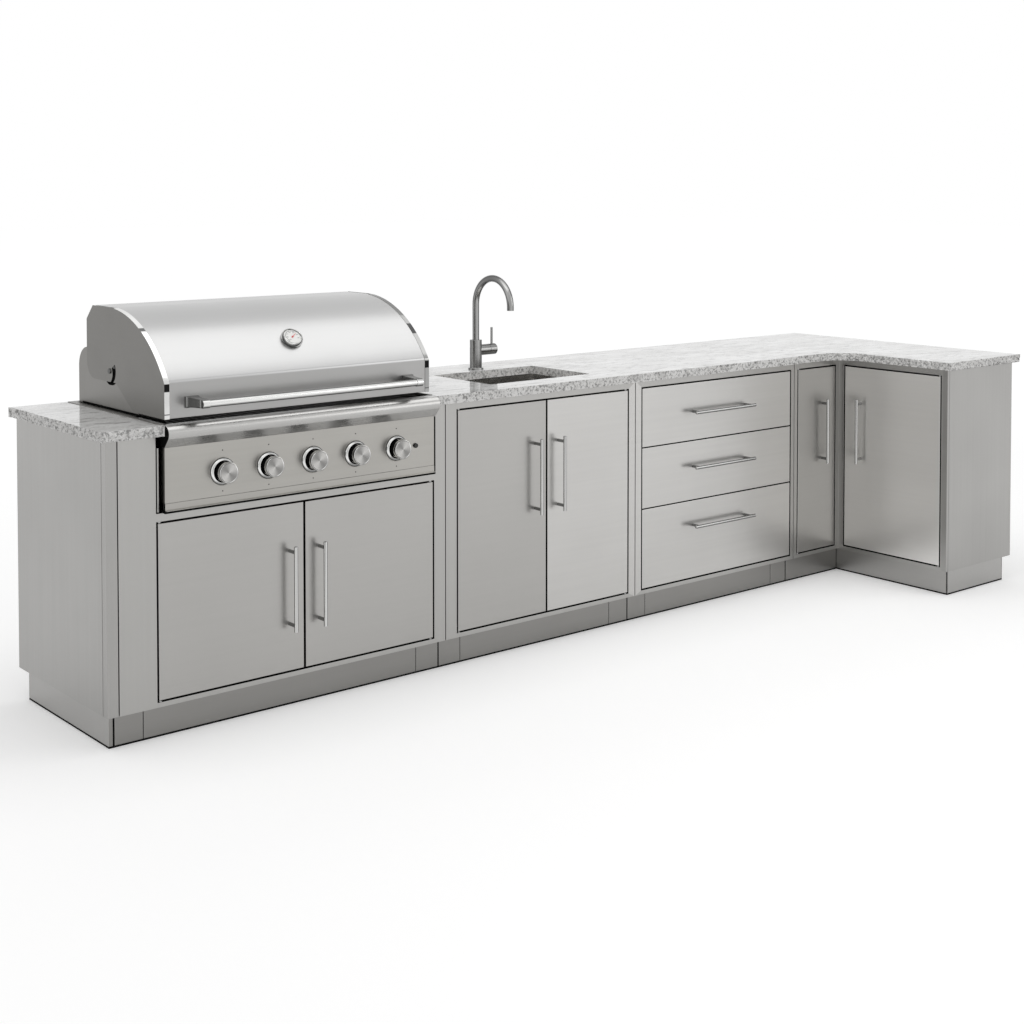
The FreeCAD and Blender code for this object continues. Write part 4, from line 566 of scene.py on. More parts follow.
def dull(name, colour, rough=0.6, variation=0.25, scale=60.0, bump=0.15, **constants):
    """Plastic, iron, rubber or paint: mottled a little in colour, gloss and height."""
    material, tree, shader = new_material(name, **constants)
    place = place_on(tree)
    mottle = noise(tree, place, scale, 5.0, 0.6)
    base = blended(tree, remap(tree, mottle, 0.3, 0.7), toned(colour, 1 - variation),
                   toned(colour, 1 + variation))
    feed(shader, {"Base Color": base,
                  "Roughness": remap(tree, mottle, 0.3, 0.7, rough - 0.08, rough + 0.08),
                  "Normal": bumped(tree, noise(tree, place, scale * 12), bump, 0.0003)})
    return material


def radial_metal(name, colour, middle, pitch):
    """Turned faces in a row: rings, and a painted sheen, a fan of light and dark about the middle
    of each face.
    """
    material, tree, shader = new_material(name, metallic=1.0, roughness=0.24, Anisotropic=0.75)
    place = axes(tree, place_on(tree))
    x = worked(tree, "SUBTRACT", place["X"], middle.x)
    x = worked(tree, "WRAP", x, pitch / 2, -pitch / 2)
    z = worked(tree, "SUBTRACT", place["Z"], middle.z)
    turn = worked(tree, "ARCTAN2", z, x)
    rings = vector_of(tree, times(tree, distance(tree, x, z), 2600.0), times(tree, turn, 0.7))
    ring_marks = noise(tree, rings, 1.0)
    # Painted sheen: light and dark by the angle about each face's middle.
    fan = worked(tree, "SINE", times(tree, turn, 2.0))
    shade = remap(tree, added(tree, (fan, 0.5), (ring_marks, 0.6)), -0.3, 0.9)
    along = vector_of(tree, times(tree, z, -1.0), 0.0, x)
    spun = add(tree, "ShaderNodeVectorTransform", {0: along}, vector_type="VECTOR",
               convert_from="OBJECT", convert_to="WORLD")
    feed(shader, {"Base Color": blended(tree, shade, toned(colour, 0.55), toned(colour, 1.45)),
                  "Tangent": spun.outputs[0], "Normal": bumped(tree, ring_marks, 0.08, 0.0002)})
    return material


def granite_group():
    """Pale granite: soft grey veins, feldspar grains, dark specks, and a rough split face, painted
    dark in its pits as shade.
    """
    tree, given, result = new_group(
        "granite", [("Drift", "NodeSocketFloat", 0.0)],
        [("Colour", "NodeSocketColor"), ("Roughness", "NodeSocketFloat"),
         ("Height", "NodeSocketFloat")])
    here = vector_math(tree, "ADD", place_on(tree), vector_of(tree, given["Drift"]))
    turned = add(tree, "ShaderNodeMapping", {"Vector": here, "Scale": (1.0, 2.6, 1.6),
                                             "Rotation": (0.0, 0.0, math.radians(24))}).outputs[0]
    warp = noise(tree, turned, 5.0, 3.0, result="Color")
    bent = vector_math(tree, "MULTIPLY_ADD", warp, grey(0.16), turned)
    broad = noise(tree, bent, 4.0, 4.0, 0.6)
    veins = noise(tree, bent, 13.0, 8.0, 0.68)
    specks = noise(tree, here, 230.0, 3.0, 0.7)
    cells = add(tree, "ShaderNodeTexVoronoi", {"Vector": here, "Scale": 170.0}).outputs["Color"]
    crystal = add(tree, "ShaderNodeSeparateColor", {0: cells}).outputs[0]
    ground = blended(tree, remap(tree, broad, 0.36, 0.62), (0.50, 0.495, 0.485),
                     (0.74, 0.74, 0.735))
    for pattern, low, high, share, tone in ((crystal, 0.35, 1.0, 0.5, (0.80, 0.80, 0.79)),
                                            (veins, 0.53, 0.62, 0.8, (0.24, 0.235, 0.23)),
                                            (specks, 0.60, 0.66, 0.8, (0.13, 0.13, 0.13))):
        ground = blended(tree, times(tree, remap(tree, pattern, low, high), share), ground, tone)
    normal = add(tree, "ShaderNodeNewGeometry").outputs["True Normal"]
    upright = worked(tree, "ABSOLUTE", axes(tree, normal)["Z"])
    side = remap(tree, upright, 0.75, 0.95, 1.0, 0.0)
    chips = noise(tree, here, 95.0, 6.0, 0.75)
    # Painted shade: the split face is dark where its chips sink in, and pale where they stand out.
    split = blended(tree, remap(tree, chips, 0.41, 0.51), (0.075, 0.073, 0.07), (0.82, 0.81, 0.795))
    feed(result, {"Colour": blended(tree, times(tree, side, 0.62), ground, split),
                  "Roughness": remap(tree, side, 0.0, 1.0, 0.07, 0.62),
                  "Height": times(tree, side, chips)})
    return tree


GRANITE = granite_group()


def granite_material(name, drift):
    material, tree, shader = new_material(name, roughness=0.2, Specular_IOR_Level=0.34)
    stone = placed_group(tree, GRANITE, {"Drift": drift})
    feed(shader, {"Base Color": stone["Colour"], "Roughness": stone["Roughness"],
                  "Normal": bumped(tree, stone["Height"], 0.6, 0.004)})
    return material


# Materials

ALONG_X, ALONG_Y, UPRIGHT = (14.0, 700.0, 700.0), (700.0, 14.0, 700.0), (700.0, 700.0, 14.0)
SATIN = (0.3, 0.38)
carcass = brushed_metal("brushed_carcass", (0.405, 0.400, 0.388), UPRIGHT)
panel_steel = brushed_metal("brushed_panels", (0.365, 0.360, 0.350), UPRIGHT, contrast=0.05)
fronts = brushed_metal("brushed_fronts", (0.405, 0.398, 0.385), ALONG_X)
# Painted light: a lighter copy of the fronts' steel, for fronts that show a brighter reflection.
fronts_painted_light = brushed_metal("brushed_fronts_painted_light", (0.52, 0.513, 0.50), ALONG_X, contrast=0.04)
# Painted light: a much lighter copy of the steel, for the return door.
return_front_painted_light = brushed_metal("brushed_return_front_painted_light", (0.77, 0.76, 0.74), ALONG_Y)
fascia_steel = brushed_metal("brushed_fascia", (0.385, 0.375, 0.353), ALONG_X, contrast=0.05)
plinth_steel = brushed_metal("brushed_plinth", (0.40, 0.395, 0.385), ALONG_Y, SATIN)
# Painted shade: a darker copy of the plinth's steel, for the front of the main run.
plinth_front_painted_shade = brushed_metal("brushed_plinth_front_painted_shade", (0.275, 0.27, 0.26), ALONG_X, SATIN)
hood_steel = brushed_metal("brushed_hood", (0.45, 0.45, 0.448), ALONG_X, contrast=0.015)
# Painted shade: a darker copy of the hood's steel, for its flat front.
hood_front_painted_shade = brushed_metal("brushed_hood_front_painted_shade", (0.37, 0.367, 0.362), ALONG_X,
                                 contrast=0.03)
# Painted shade: dark copies of the steel, for the hood's end plates and the grill's sides.
hood_end_painted_shade = brushed_metal("brushed_hood_ends_painted_shade", (0.178, 0.174, 0.165), ALONG_Y, SATIN)
grill_side_painted_shade = brushed_metal("brushed_grill_sides_painted_shade", (0.215, 0.21, 0.20), UPRIGHT, SATIN)
rail_steel = brushed_metal("brushed_bullnose", (0.44, 0.435, 0.425), ALONG_X, (0.26, 0.32), 0.03)
bowl_steel = brushed_metal("brushed_bowl", (0.66, 0.65, 0.63), ALONG_X, (0.16, 0.24), 0.03)
# Painted light: a lighter copy of the steel that brightens the dark insides of the drawer boxes.
box_steel_painted_light = brushed_metal("brushed_drawer_boxes_painted_light", (0.58, 0.57, 0.555), ALONG_Y)
inner_steel = brushed_metal("heat_tinted_steel", (0.30, 0.285, 0.255), ALONG_X, (0.3, 0.5), 0.12)

# Bands of painted reflection, each as (how far a face turns from square on, tone).
BAR_BANDS = ((0.0, 0.16), (0.02, 0.22), (0.06, 0.66), (0.18, 0.78), (0.30, 0.42), (0.48, 0.10),
             (1.0, 0.07))
POST_BANDS = ((0.0, 0.30), (0.25, 0.17), (0.6, 0.22), (0.8, 0.06), (1.0, 0.2))
TAP_BANDS = ((0.0, 0.30), (0.12, 0.42), (0.3, 0.20), (0.55, 0.07), (0.78, 0.22), (1.0, 0.12))
CHROME_BANDS = ((0.0, 0.42), (0.05, 0.82), (0.11, 0.74), (0.17, 0.24), (0.24, 0.30), (0.31, 0.05),
                (0.43, 0.10), (0.52, 0.66), (0.68, 0.84), (0.80, 0.08), (1.0, 0.30))
LEFT_TRIM_BANDS = ((0.0, 0.62), (0.35, 0.74), (0.6, 0.90), (0.85, 0.6), (1.0, 0.4))
RIGHT_TRIM_BANDS = ((0.0, 0.36), (0.3, 0.33), (0.5, 0.26), (0.72, 0.14), (0.88, 0.05), (1.0, 0.03))
# Spans of height painted dark on the trim bands, as dark reflections: (low, high, tone).
LOW_SPAN, BROAD_SPAN = (938.0, 941.0, 0.10), (1005.0, 1028.0, 0.012)
grip_steel = painted_reflection_metal("polished_grips", BAR_BANDS, 0.16)
upright_grip = painted_reflection_metal("polished_upright_grips", BAR_BANDS, 0.14)
post_steel = painted_reflection_metal("polished_posts", POST_BANDS, 0.2)
tap_steel = painted_reflection_metal("brushed_tap", TAP_BANDS, 0.2)
plated = painted_reflection_metal("chrome_plate", CHROME_BANDS, 0.07)
polished = painted_reflection_metal("polished_steel", LEFT_TRIM_BANDS, 0.1,
                        (BROAD_SPAN, LOW_SPAN, (1170.0, 1178.0, 0.16)))
# Painted shade: a darker copy of the trim bands' metal, for the right-hand band.
polished_right_painted_shade = painted_reflection_metal("polished_steel_right_painted_shade", RIGHT_TRIM_BANDS, 0.1,
                              (BROAD_SPAN, (1112.0, 1142.0, 0.05), LOW_SPAN))

KNOB_XS = (358.0, 514.0, 670.0, 826.0, 982.0)
KNOB_PITCH = KNOB_XS[1] - KNOB_XS[0]
KNOB_Z = 762.0
knob_face = radial_metal("turned_knob_face", (0.36, 0.355, 0.345), at(KNOB_XS[2], 0, KNOB_Z),
                         KNOB_PITCH * MM)
zinc = plain_metal("zinc_plate", grey(0.5), (0.25, 0.4))
aluminium = plain_metal("cast_metal", grey(0.5), (0.3, 0.45))
iron = dull("cooking_iron", (0.055, 0.053, 0.05), 0.55, 0.4, 80.0, 0.3)
black = dull("black_moulding", grey(0.012), 0.5, 0.3)
# Painted shade: a black that fills joints, gaps and slots where shade falls.
painted_shade_black = dull("black_painted_shade", grey(0.008), 0.85, 0.2, Specular_IOR_Level=0.0)
# Painted shade: black for small holes and hollows.
hole_shade = dull("painted_recess_shade", grey(0.01), 0.8, 0.2)
dial_white = dull("dial_paint", (0.82, 0.82, 0.80), 0.4, 0.02)
dial_grey = dull("dial_print", grey(0.2), 0.5, 0.1)
needle_red = dull("needle_paint", (0.6, 0.03, 0.025), 0.35, 0.1)


# Granite. Its split sides are cut up into fine rows, to be chipped.

CHIP_PITCH = 4.5
CHIP_ROWS = 8


def stone_slab(name, outline, sawn):
    """A slab drawn round its outline, with split and chipped sides where they aren't sawn."""
    obj = single_point(name)
    bpy.ops.transform.translate(value=at(*outline[0], SLAB_BOTTOM))
    for a, b in zip(outline, outline[1:] + outline[:1]):
        count = 1 if sawn(*a) and sawn(*b) else max(1, round(math.dist(a, b) / CHIP_PITCH))
        for _ in range(count):
            step((b[0] - a[0]) / count, (b[1] - a[1]) / count, 0)
    merged(outwards=False)
    for _ in range(CHIP_ROWS):
        step(0, 0, (COUNTER_TOP - SLAB_BOTTOM) / CHIP_ROWS)
    merged()
    closed(obj)
    edge = obj.vertex_groups.new(name="edge")
    for vertex in obj.data.vertices:
        x, y, z = (vertex.co - SHIFT) / MM
        if not sawn(x, y):
            edge.add([vertex.index], 1.0, "REPLACE")
    chips = bpy.data.textures.new(name + "_chips", "CLOUDS")
    chips.noise_scale = 0.009
    chips.noise_depth = 3
    chips.contrast = 1.6
    modified(obj, "DISPLACE", texture=chips, texture_coords="GLOBAL", direction="NORMAL",
             vertex_group="edge", strength=0.0085, mid_level=1.13)
    for level in (at(0, 0, z).z for z in (SLAB_BOTTOM, COUNTER_TOP)):
        pick(obj, "EDGE", lambda middle, way: abs(middle.z - level) < 0.00001)
        bpy.ops.mesh.edge_face_add()
    merged()
    closed(obj)
    return smooth(obj, 12)


def straight_slab(name, x0, x1, sawn):
    """A slab of full depth, sawn along its back and where a test of x says so."""
    return stone_slab(name, [(x0, SLAB_FRONT), (x1, SLAB_FRONT), (x1, DEPTH), (x0, DEPTH)],
                      lambda x, y: y > DEPTH - 1 or sawn(x))


def corner_slab():
    """The L-shaped slab, its inner corner swept by a large radius."""
    x0, x1, inner_x, tip, radius, steps = 2944.0, 3685.0, 3199.0, -547.0, 110.0, 24
    outline = [(x0, SLAB_FRONT)]
    for n in range(steps + 1):
        turn = math.radians(90 - 90 * n / steps)
        outline.append((inner_x - radius + radius * math.cos(turn),
                        SLAB_FRONT - radius + radius * math.sin(turn)))
    outline += [(inner_x, tip), (x1, tip), (x1, DEPTH), (x0, DEPTH)]
    return stone_slab("granite_corner", outline, lambda x, y: x < x0 + 1 or y > DEPTH - 1)


def sink_slab():
    """The slab over the sink: an opening with rounded corners, the tap's hole and a sawn seam."""
    obj = straight_slab("granite_sink", 1140.0, 2061.2, lambda x: x < 1141 or x > 2060)
    opening = block("opening", (1458, 92, 850), (1922, 418, 950))
    pick(opening, "EDGE", lambda middle, way: abs(way.z) > 0.9)
    bpy.ops.mesh.bevel(offset=8 * MM, segments=4, affect="EDGES")
    cut(obj, closed(opening))
    drilled(obj, 15.0, (1695, 470, 860), (1695, 470, 960))
    for back, foot in ((680, 909), (-22, 870)):
        cut(obj, block("seam", (1261.5, -60, foot), (1262.5, back, 960)))
    return smooth(obj, 12)


SLABS = (
    (straight_slab("granite_left", -25.0, 170.0, lambda x: x > 169), "countertop_left", 0.0),
    (sink_slab(), "countertop_sink", 3.7),
    (straight_slab("granite_drawers", 2062.0, 2943.2, lambda x: x < 2063 or x > 2942),
     "countertop_drawers", 7.9),
    (corner_slab(), "countertop_corner", 12.3),
)
for slab, node, drift in SLABS:
    painted(slab, granite_material("granite_" + node, drift))
    fitted(slab, "root", "granite", node)


# Doors, drawers and their handles. TRIM is what opens the dark joint round each front.

TRIM = 1.8
HEM = 12.0
INSIDE = 1.6
PIVOT_IN, PIVOT_BORE = 8.0, 4.15
DOOR_FOOT, DOOR_TOP, GRILL_DOOR_TOP = 118.0, 856.0, 632.0


def folded_front(name, u0, u1, z0, z1):
    """A pan of sheet with rounded front edges, folded back at the sides and hemmed at the rear."""
    u0, u1, z0, z1 = u0 + TRIM, u1 - TRIM, z0 + TRIM, z1 - TRIM
    pan = block(name, (u0, 0, z0), (u1, LEAF, z1))
    without(pan, lambda middle, normal: normal.y > 0.9)
    pick(pan, "EDGE", lambda middle, way: abs(middle.y - FRONT_FACE) < 0.001)
    bpy.ops.mesh.bevel(offset=1.1 * MM, segments=3, affect="EDGES")
    rear = at(0, LEAF, 0).y
    pick(pan, "EDGE", lambda middle, way: abs(middle.y - rear) < 0.0001 and abs(way.y) < 0.1)
    bpy.ops.mesh.extrude_edges_move()
    wide, tall = u1 - u0, z1 - z0
    bpy.ops.transform.resize(value=((wide - 2 * HEM) / wide, 1, (tall - 2 * HEM) / tall),
                             center_override=tuple(at((u0 + u1) / 2, LEAF, (z0 + z1) / 2)))
    return smooth(thickened(closed(pan), SHEET))


def bored(obj, u, z0, z1):
    """Bores a piece for the pivot pin that a door turns on."""
    return drilled(obj, PIVOT_BORE, (u, PIVOT_IN, z0), (u, PIVOT_IN, z1), 0.1, 24)


def swing_door(name, u0, u1, z0, z1, hinge):
    """A leaf with its two bored pivot blocks inside the hinge-side corners."""
    pan = folded_front(name, u0, u1, z0, z1)
    axis = u0 + PIVOT_IN if hinge == "left" else u1 - PIVOT_IN
    b0, b1 = (u0 + INSIDE, u0 + 18) if hinge == "left" else (u1 - 18, u1 - INSIDE)
    for end, reach in ((z0, 12.5), (z1, -12.5)):
        bored(pan, axis, end - reach, end + reach)
    parts = [pan]
    for low, high, start, end in ((z0 + INSIDE, z0 + 16, z0 - 5, z0 + 12.3),
                                  (z1 - 16, z1 - INSIDE, z1 - 12.3, z1 + 5)):
        pivot = block("pivot", (b0, INSIDE, low), (b1, LEAF - INSIDE, high))
        parts.append(eased(bored(pivot, axis, start, end), 0.4))
    return joined(name, parts)


def bar_handle(name, u, z, length, posts, reach, steel, way=UP):
    """A round bar on two posts that stand on the front."""
    way = Vector(way)
    middle = Vector((u, -reach, z))
    half = way * length / 2
    parts = [painted(bar(name, 6.0, middle - half, middle + half, 1.6), steel)]
    for side in (-1, 1):
        foot = Vector((u, 0, z)) + way * (side * posts / 2)
        profile = [(0, 0), (5.5, 0), (5.5, reach - 2), (0, reach - 2)]
        parts.append(painted(lathe("post", profile, foot, FORWARD, 28), post_steel))
    return joined(name, parts)


def on_fold(leaf):
    """Tests for the faces of the outer folds of a leaf, painted black as shade in the joint round
    it.
    """
    low, high = ([end(vertex.co[i] for vertex in leaf.data.vertices) for i in range(3)]
                 for end in (min, max))

    def test(middle, normal):
        return any(abs(normal[i]) > 0.99 and min(middle[i] - low[i], high[i] - middle[i]) < 0.0002
                   and high[i] - low[i] > 0.1 for i in range(3))
    return test


# Name, body, sides, top, hinge side, middle of the handle, its reach, and finish
# The sink's right door and the return door take lighter copies of the steel: painted light.
DOORS = (
    ("grill_door_left", "grill_leaf_left", 158.0, 648.5, GRILL_DOOR_TOP, "left", 597.5, 375.0,
     36.0, fronts),
    ("grill_door_right", "grill_leaf_right", 652.5, 1143.0, GRILL_DOOR_TOP, "right", 703.5, 375.0,
     36.0, fronts),
    ("sink_door_left", "sink_leaf_left", 1244.0, 1632.0, DOOR_TOP, "left", 1581.0, 598.0, 36.0,
     fronts),
    ("sink_door_right", "sink_leaf_right", 1636.0, 2024.0, DOOR_TOP, "right", 1687.0, 598.0, 36.0,
     fronts_painted_light),
    ("narrow_corner_door", "narrow_leaf", 2966.0, 3199.0, DOOR_TOP, "left", 3116.0, 598.0, 30.0,
     fronts),
    ("return_door", "return_leaf", 29.0, 490.0, DOOR_TOP, "right", 112.0, 598.0, 30.0,
     return_front_painted_light),
)
for door, body, u0, u1, top, hinge, bar_u, bar_z, reach, steel in DOORS:
    handle = door.replace("door", "handle")
    leaf = swing_door("front_" + door, u0, u1, DOOR_FOOT, top, hinge)
    grip = bar_handle("grip_" + handle, bar_u, bar_z, 262.0, 224.0, reach, upright_grip)
    if body == "return_leaf":
        to_return(leaf)
        to_return(grip)
    painted(leaf, steel)
    # Painted shade: the leaf's outer folds are black, which darkens the joint round it.
    painted(leaf, painted_shade_black, on_fold(leaf))
    fitted(leaf, body, "door_steel", door)
    fitted(grip, body, "handle_steel", handle)


def drawer_box(name, z0, z1):
    """The sheet box behind a drawer front, with the slide tongue on each side."""
    x0, x1, y0, y1 = 2105.0, 2909.0, LEAF - 1.0, 500.0
    tray = block(name, (x0, y0, z0 + 24), (x1, y1, z1 - 46))
    without(tray, lambda middle, normal: normal.z > 0.9)
    parts = [eased(thickened(closed(tray), SHEET), 0.5)]
    for a, b in ((x0 - 10, x0), (x1, x1 + 10)):
        parts.append(eased(block("tongue", (a, 26, z0 + 42), (b, 484, z0 + 68)), 1.5))
    return joined(name, parts)


# Name, body, foot, top, and the height of the handle
DRAWERS = (("drawer_top", "top_drawer", 639.04, DOOR_TOP, 747.04),
           ("drawer_middle", "middle_drawer", 414.02, 635.04, 540.02),
           ("drawer_bottom", "bottom_drawer", DOOR_FOOT, 410.02, 318.02))
INNER_TRIM = 0.2
for drawer, body, z0, z1, bar_z in DRAWERS:
    low = z0 - (TRIM - INNER_TRIM if z0 > DOOR_FOOT else 0.0)
    high = z1 + (TRIM - INNER_TRIM if z1 < DOOR_TOP else 0.0)
    # Painted light: the drawer fronts take the lighter copy of the steel.
    face = painted(folded_front("front_" + drawer, 2095.0, 2919.0, low, high), fronts_painted_light)
    # Painted shade: the outer folds are black, which darkens the joint round the front.
    painted(face, painted_shade_black, on_fold(face))
    face = joined("front_" + drawer, [face, painted(drawer_box("box", z0, z1), box_steel_painted_light)])
    grip = bar_handle("grip_" + drawer, 2507.0, bar_z, 330.0, 288.0, 36.0, grip_steel, RIGHT)
    fitted(face, body, "door_steel", drawer)
    fitted(grip, body, "handle_steel", drawer.replace("drawer", "drawer_handle"))


# Hood

ARC_Y, ARC_Z, ARC = 365.0, 807.5, 420.0
HOOD_FRONT, HOOD_FOOT, HOOD_TOP, HOOD_BACK, HOOD_BEVEL = 9.0, 926.0, 1227.5, 519.0, 44.0
HOOD_LEFT, HOOD_RIGHT = 187.0, 1133.0
SKIN_SPLIT = 330.0
PIVOT_Y, PIVOT_Z = 360.0, 1034.0
STOP_Z = 1046.0
GRIP_Y, GRIP_Z = -62.0, 971.0
DIAL_ANGLE = 131.7


def arc_point(y):
    return ARC_Z + math.sqrt(ARC ** 2 - (ARC_Y - y) ** 2)


def over_arc(y0, y1, steps, short=0.0):
    """The move along the hood's arc from one depth to another, backwards over the top."""
    a0, a1 = (math.atan2(arc_point(y) - ARC_Z, y - ARC_Y) for y in (y0, y1))
    return ("arc", ARC_Y, ARC_Z, math.degrees(a1 - a0) - short, steps)


def hood_skins():
    """The front sheet and arc at full width, and a narrower rear part that clears the sides."""
    front = traced("skin_front", (HOOD_FRONT + 14, HOOD_FOOT + 0.8),
                   [("to", HOOD_FRONT + 1.0, HOOD_FOOT + 0.8), ("to", HOOD_FRONT, HOOD_FOOT + 1.8),
                    ("to", HOOD_FRONT, arc_point(HOOD_FRONT)),
                    over_arc(HOOD_FRONT, SKIN_SPLIT, 40)])
    carried(front, HOOD_LEFT + 2.2, HOOD_RIGHT - 2.2, filled=False)
    rear = traced("skin_rear", (SKIN_SPLIT, arc_point(SKIN_SPLIT)),
                  [over_arc(SKIN_SPLIT, ARC_Y, 4), ("to", HOOD_BACK - HOOD_BEVEL, HOOD_TOP),
                   ("to", HOOD_BACK, HOOD_TOP - HOOD_BEVEL), ("to", HOOD_BACK, 1095.0)])
    carried(rear, HOOD_LEFT + 10.0, HOOD_RIGHT - 10.0, filled=False)
    return [thickened(skin, 2.0) for skin in (front, rear)]


def crescent(x0, x1):
    """The cutter for the stop pin's slot: broad at its head and drawn out to a point."""
    first, sweep, outer, steps = 147.0, 130.0, 41.0, 18

    def on_slot(share, radius):
        turn = math.radians(first + sweep * share)
        return PIVOT_Y + radius * math.cos(turn), PIVOT_Z + radius * math.sin(turn)

    inner = [on_slot(n / steps, 17.0 + 22.0 * (n / steps) ** 2.2) for n in range(steps + 1)]
    moves = [("to", *point) for point in inner[1:]]
    moves += [("to", *on_slot(1.0, outer)), ("arc", PIVOT_Y, PIVOT_Z, -sweep, steps)]
    return carried(traced("crescent", inner[0], moves), x0, x1, filled=True)


def end_plate():
    """A side plate: the hood's outline, a lobe below the pivot, the pivot's hole and the slot."""
    lobe, foot = 55.0, 1001.0
    moves = [("to", HOOD_FRONT, arc_point(HOOD_FRONT)), over_arc(HOOD_FRONT, ARC_Y, 44),
             ("to", HOOD_BACK - HOOD_BEVEL, HOOD_TOP), ("to", HOOD_BACK, HOOD_TOP - HOOD_BEVEL),
             ("to", HOOD_BACK, foot + lobe), ("arc", HOOD_BACK - lobe, foot + lobe, -90.0, 12),
             ("to", 318.0, foot), ("to", 205.0, HOOD_FOOT), ("to", HOOD_FRONT, HOOD_FOOT)]
    plate = traced("plate", (HOOD_FRONT, HOOD_FOOT), moves)
    carried(plate, HOOD_LEFT, HOOD_LEFT + 2.0, filled=True)
    cut(plate, crescent(180.0, 196.0))
    drilled(plate, 5.1, (180, PIVOT_Y, PIVOT_Z), (196, PIVOT_Y, PIVOT_Z), 0.2)
    return eased(plate, 0.5, 2, 30)


def dial_place():
    """Where the thermometer sits on the hood's arc, and which way it looks."""
    angle = math.radians(DIAL_ANGLE)
    way = Vector((0, math.cos(angle), math.sin(angle)))
    return Vector((GRILL_MIDDLE, ARC_Y, ARC_Z)) + way * ARC, way


def hood_piece():
    """The skins with the thermometer's hole, and the two end plates."""
    skins = hood_skins()
    probe = lathe("probe", [(0, -14), (5.3, -14), (5.3, 14), (0, 14)], *dial_place(), 24)
    cut(skins[0], probe)
    for skin in skins:
        eased(skin, 0.5, 2, 60)
        painted(skin, hood_steel)
        # Painted shade: the flat front faces take the darker copy of the hood's steel.
        painted(skin, hood_front_painted_shade, lambda middle, normal: normal.y < -0.97)
    # Painted shade: the end plates take a dark copy of the steel.
    left = painted(end_plate(), hood_end_painted_shade)
    return joined("hood_lid", skins + [left, mirrored(left, "plate_right", GRILL_MIDDLE)])


def trim_band(name, x0):
    """A polished strip over one end of the hood, from its foot to the top of its arc."""
    front = HOOD_FRONT - 1.2
    made = traced(name, (front, HOOD_FOOT), [("to", front, arc_point(HOOD_FRONT) - 0.3),
                                             over_arc(HOOD_FRONT, SKIN_SPLIT - 1.0, 40, 0.1)])
    carried(made, x0, x0 + 16.0, filled=False)
    return eased(thickened(made, 1.1), 0.35, 2, 60)


def grip_arm(x, outward):
    """A cast arm, broad at the hood and drawn in to the bar's socket."""
    half_wide, half_tall, lean = 22.0, 17.0, outward * 6
    arm = block("arm", (x + lean - half_wide, HOOD_FRONT - 5, GRIP_Z - half_tall),
                (x + lean + half_wide, HOOD_FRONT - 0.1, GRIP_Z + half_tall))
    pick(arm, "FACE", lambda face, normal: normal.y < -0.9)
    for forward, wide, tall, slide in ((10, 0.80, 0.86, 0.4), (22, 0.86, 0.92, 0.3),
                                       (20, 0.92, 0.94, 0.2), (10, 0.94, 0.96, 0.1)):
        step(-lean * slide, -forward, 0)
        bpy.ops.transform.resize(value=(wide, 1, tall))
    return eased(closed(arm), 3.0, 3, 25)


def hood_grip():
    """The long bar with its sockets and two cast arms."""
    parts = [painted(bar("hood_bar", 11.0, (268.5, GRIP_Y, GRIP_Z), (1051.5, GRIP_Y, GRIP_Z), 1.2,
                         48), grip_steel)]
    ring = [(11.0, 0), (12.0, 0), (12.5, 0.6), (12.5, 22.4), (12.0, 23), (11.0, 23), (11.0, 0)]
    for x, outward in ((280.0, -1), (1040.0, 1)):
        socket = lathe("socket", ring, (x - 11.5, GRIP_Y, GRIP_Z), RIGHT, 40)
        parts += [painted(socket, grip_steel), painted(grip_arm(x, outward), post_steel)]
    return joined("hood_grip", parts)


def friction_washers():
    """Black washers between the fixed sides and the hood's plates, which show through the slots as
    painted shade.
    """
    made = lathe("washer", [(5.2, 0), (44, 0), (44, 1.4), (5.2, 1.4), (5.2, 0)],
                 (HOOD_LEFT + 3.0, PIVOT_Y, PIVOT_Z), RIGHT, 56)
    drilled(made, 5.0, (180, 330.0, STOP_Z), (200, 330.0, STOP_Z), 0.2)
    cut(made, block("below", (180, 300, 960), (200, 420, 991)))
    return joined("hood_washers", [made, mirrored(made, "washer_right", GRILL_MIDDLE)])


# Painted shade: the washers are black, darkening the slots.
fitted(painted(friction_washers(), painted_shade_black), "root", "polished_steel")
# Painted shade: a black strip along the foot of the hood's left side.
hood_foot_shade = block("hood_foot_painted_shade", (190.3, 12.0, 916.3), (191.9, 560.0, 921.5))
fitted(painted(hood_foot_shade, painted_shade_black), "root", "polished_steel")
fitted(hood_piece(), "hood", "hood_steel", "hood_shell")
bands = joined("hood_bands", [trim_band("band_left", HOOD_LEFT),
                              trim_band("band_right", HOOD_RIGHT - 16.0)])
# Painted shade: the right-hand band takes the darker copy.
painted(painted(bands, polished), polished_right_painted_shade,
        lambda middle, normal: middle.x > at(GRILL_MIDDLE, 0, 0).x)
fitted(bands, "hood", "polished_steel", "hood_trim_bands")
fitted(hood_grip(), "hood", "polished_steel", "hood_handle")


# Thermometer

DIAL_LIFT = 12.45
DIAL_ZERO = -130
seat, way = dial_place()
case = lathe("dial_case", [(0, -58), (4.6, -60), (5, -59), (5, 0.2), (31, 0.2), (34, 1.2), (35, 4),
                           (34.6, 9), (33.6, 13.4), (32, 15.4), (30.6, 15.9), (29.7, 15.4),
                           (29.5, 12.1), (0, 12.1)], seat, way, 72)
painted(case, plated)
dial = lathe("dial_face", [(0, 12.15), (28.9, 12.15), (29.2, 12.4), (0, 12.4)], seat, way, 64)
painted(dial, dial_white)


def on_dial(obj, turn, lift=DIAL_LIFT):
    """Lays a flat piece drawn on the XY plane onto the dial, turned about its axis."""
    across = Vector((1, 0, 0))
    up = way.cross(across).normalized()
    basis = Matrix((across, up, way)).transposed().to_4x4()
    spin = Matrix.Rotation(math.radians(-turn), 4, "Z")
    place = Matrix.Translation(at(*(seat + way * lift)))
    obj.matrix_world = place @ basis @ spin @ obj.matrix_world
    return settled(obj)


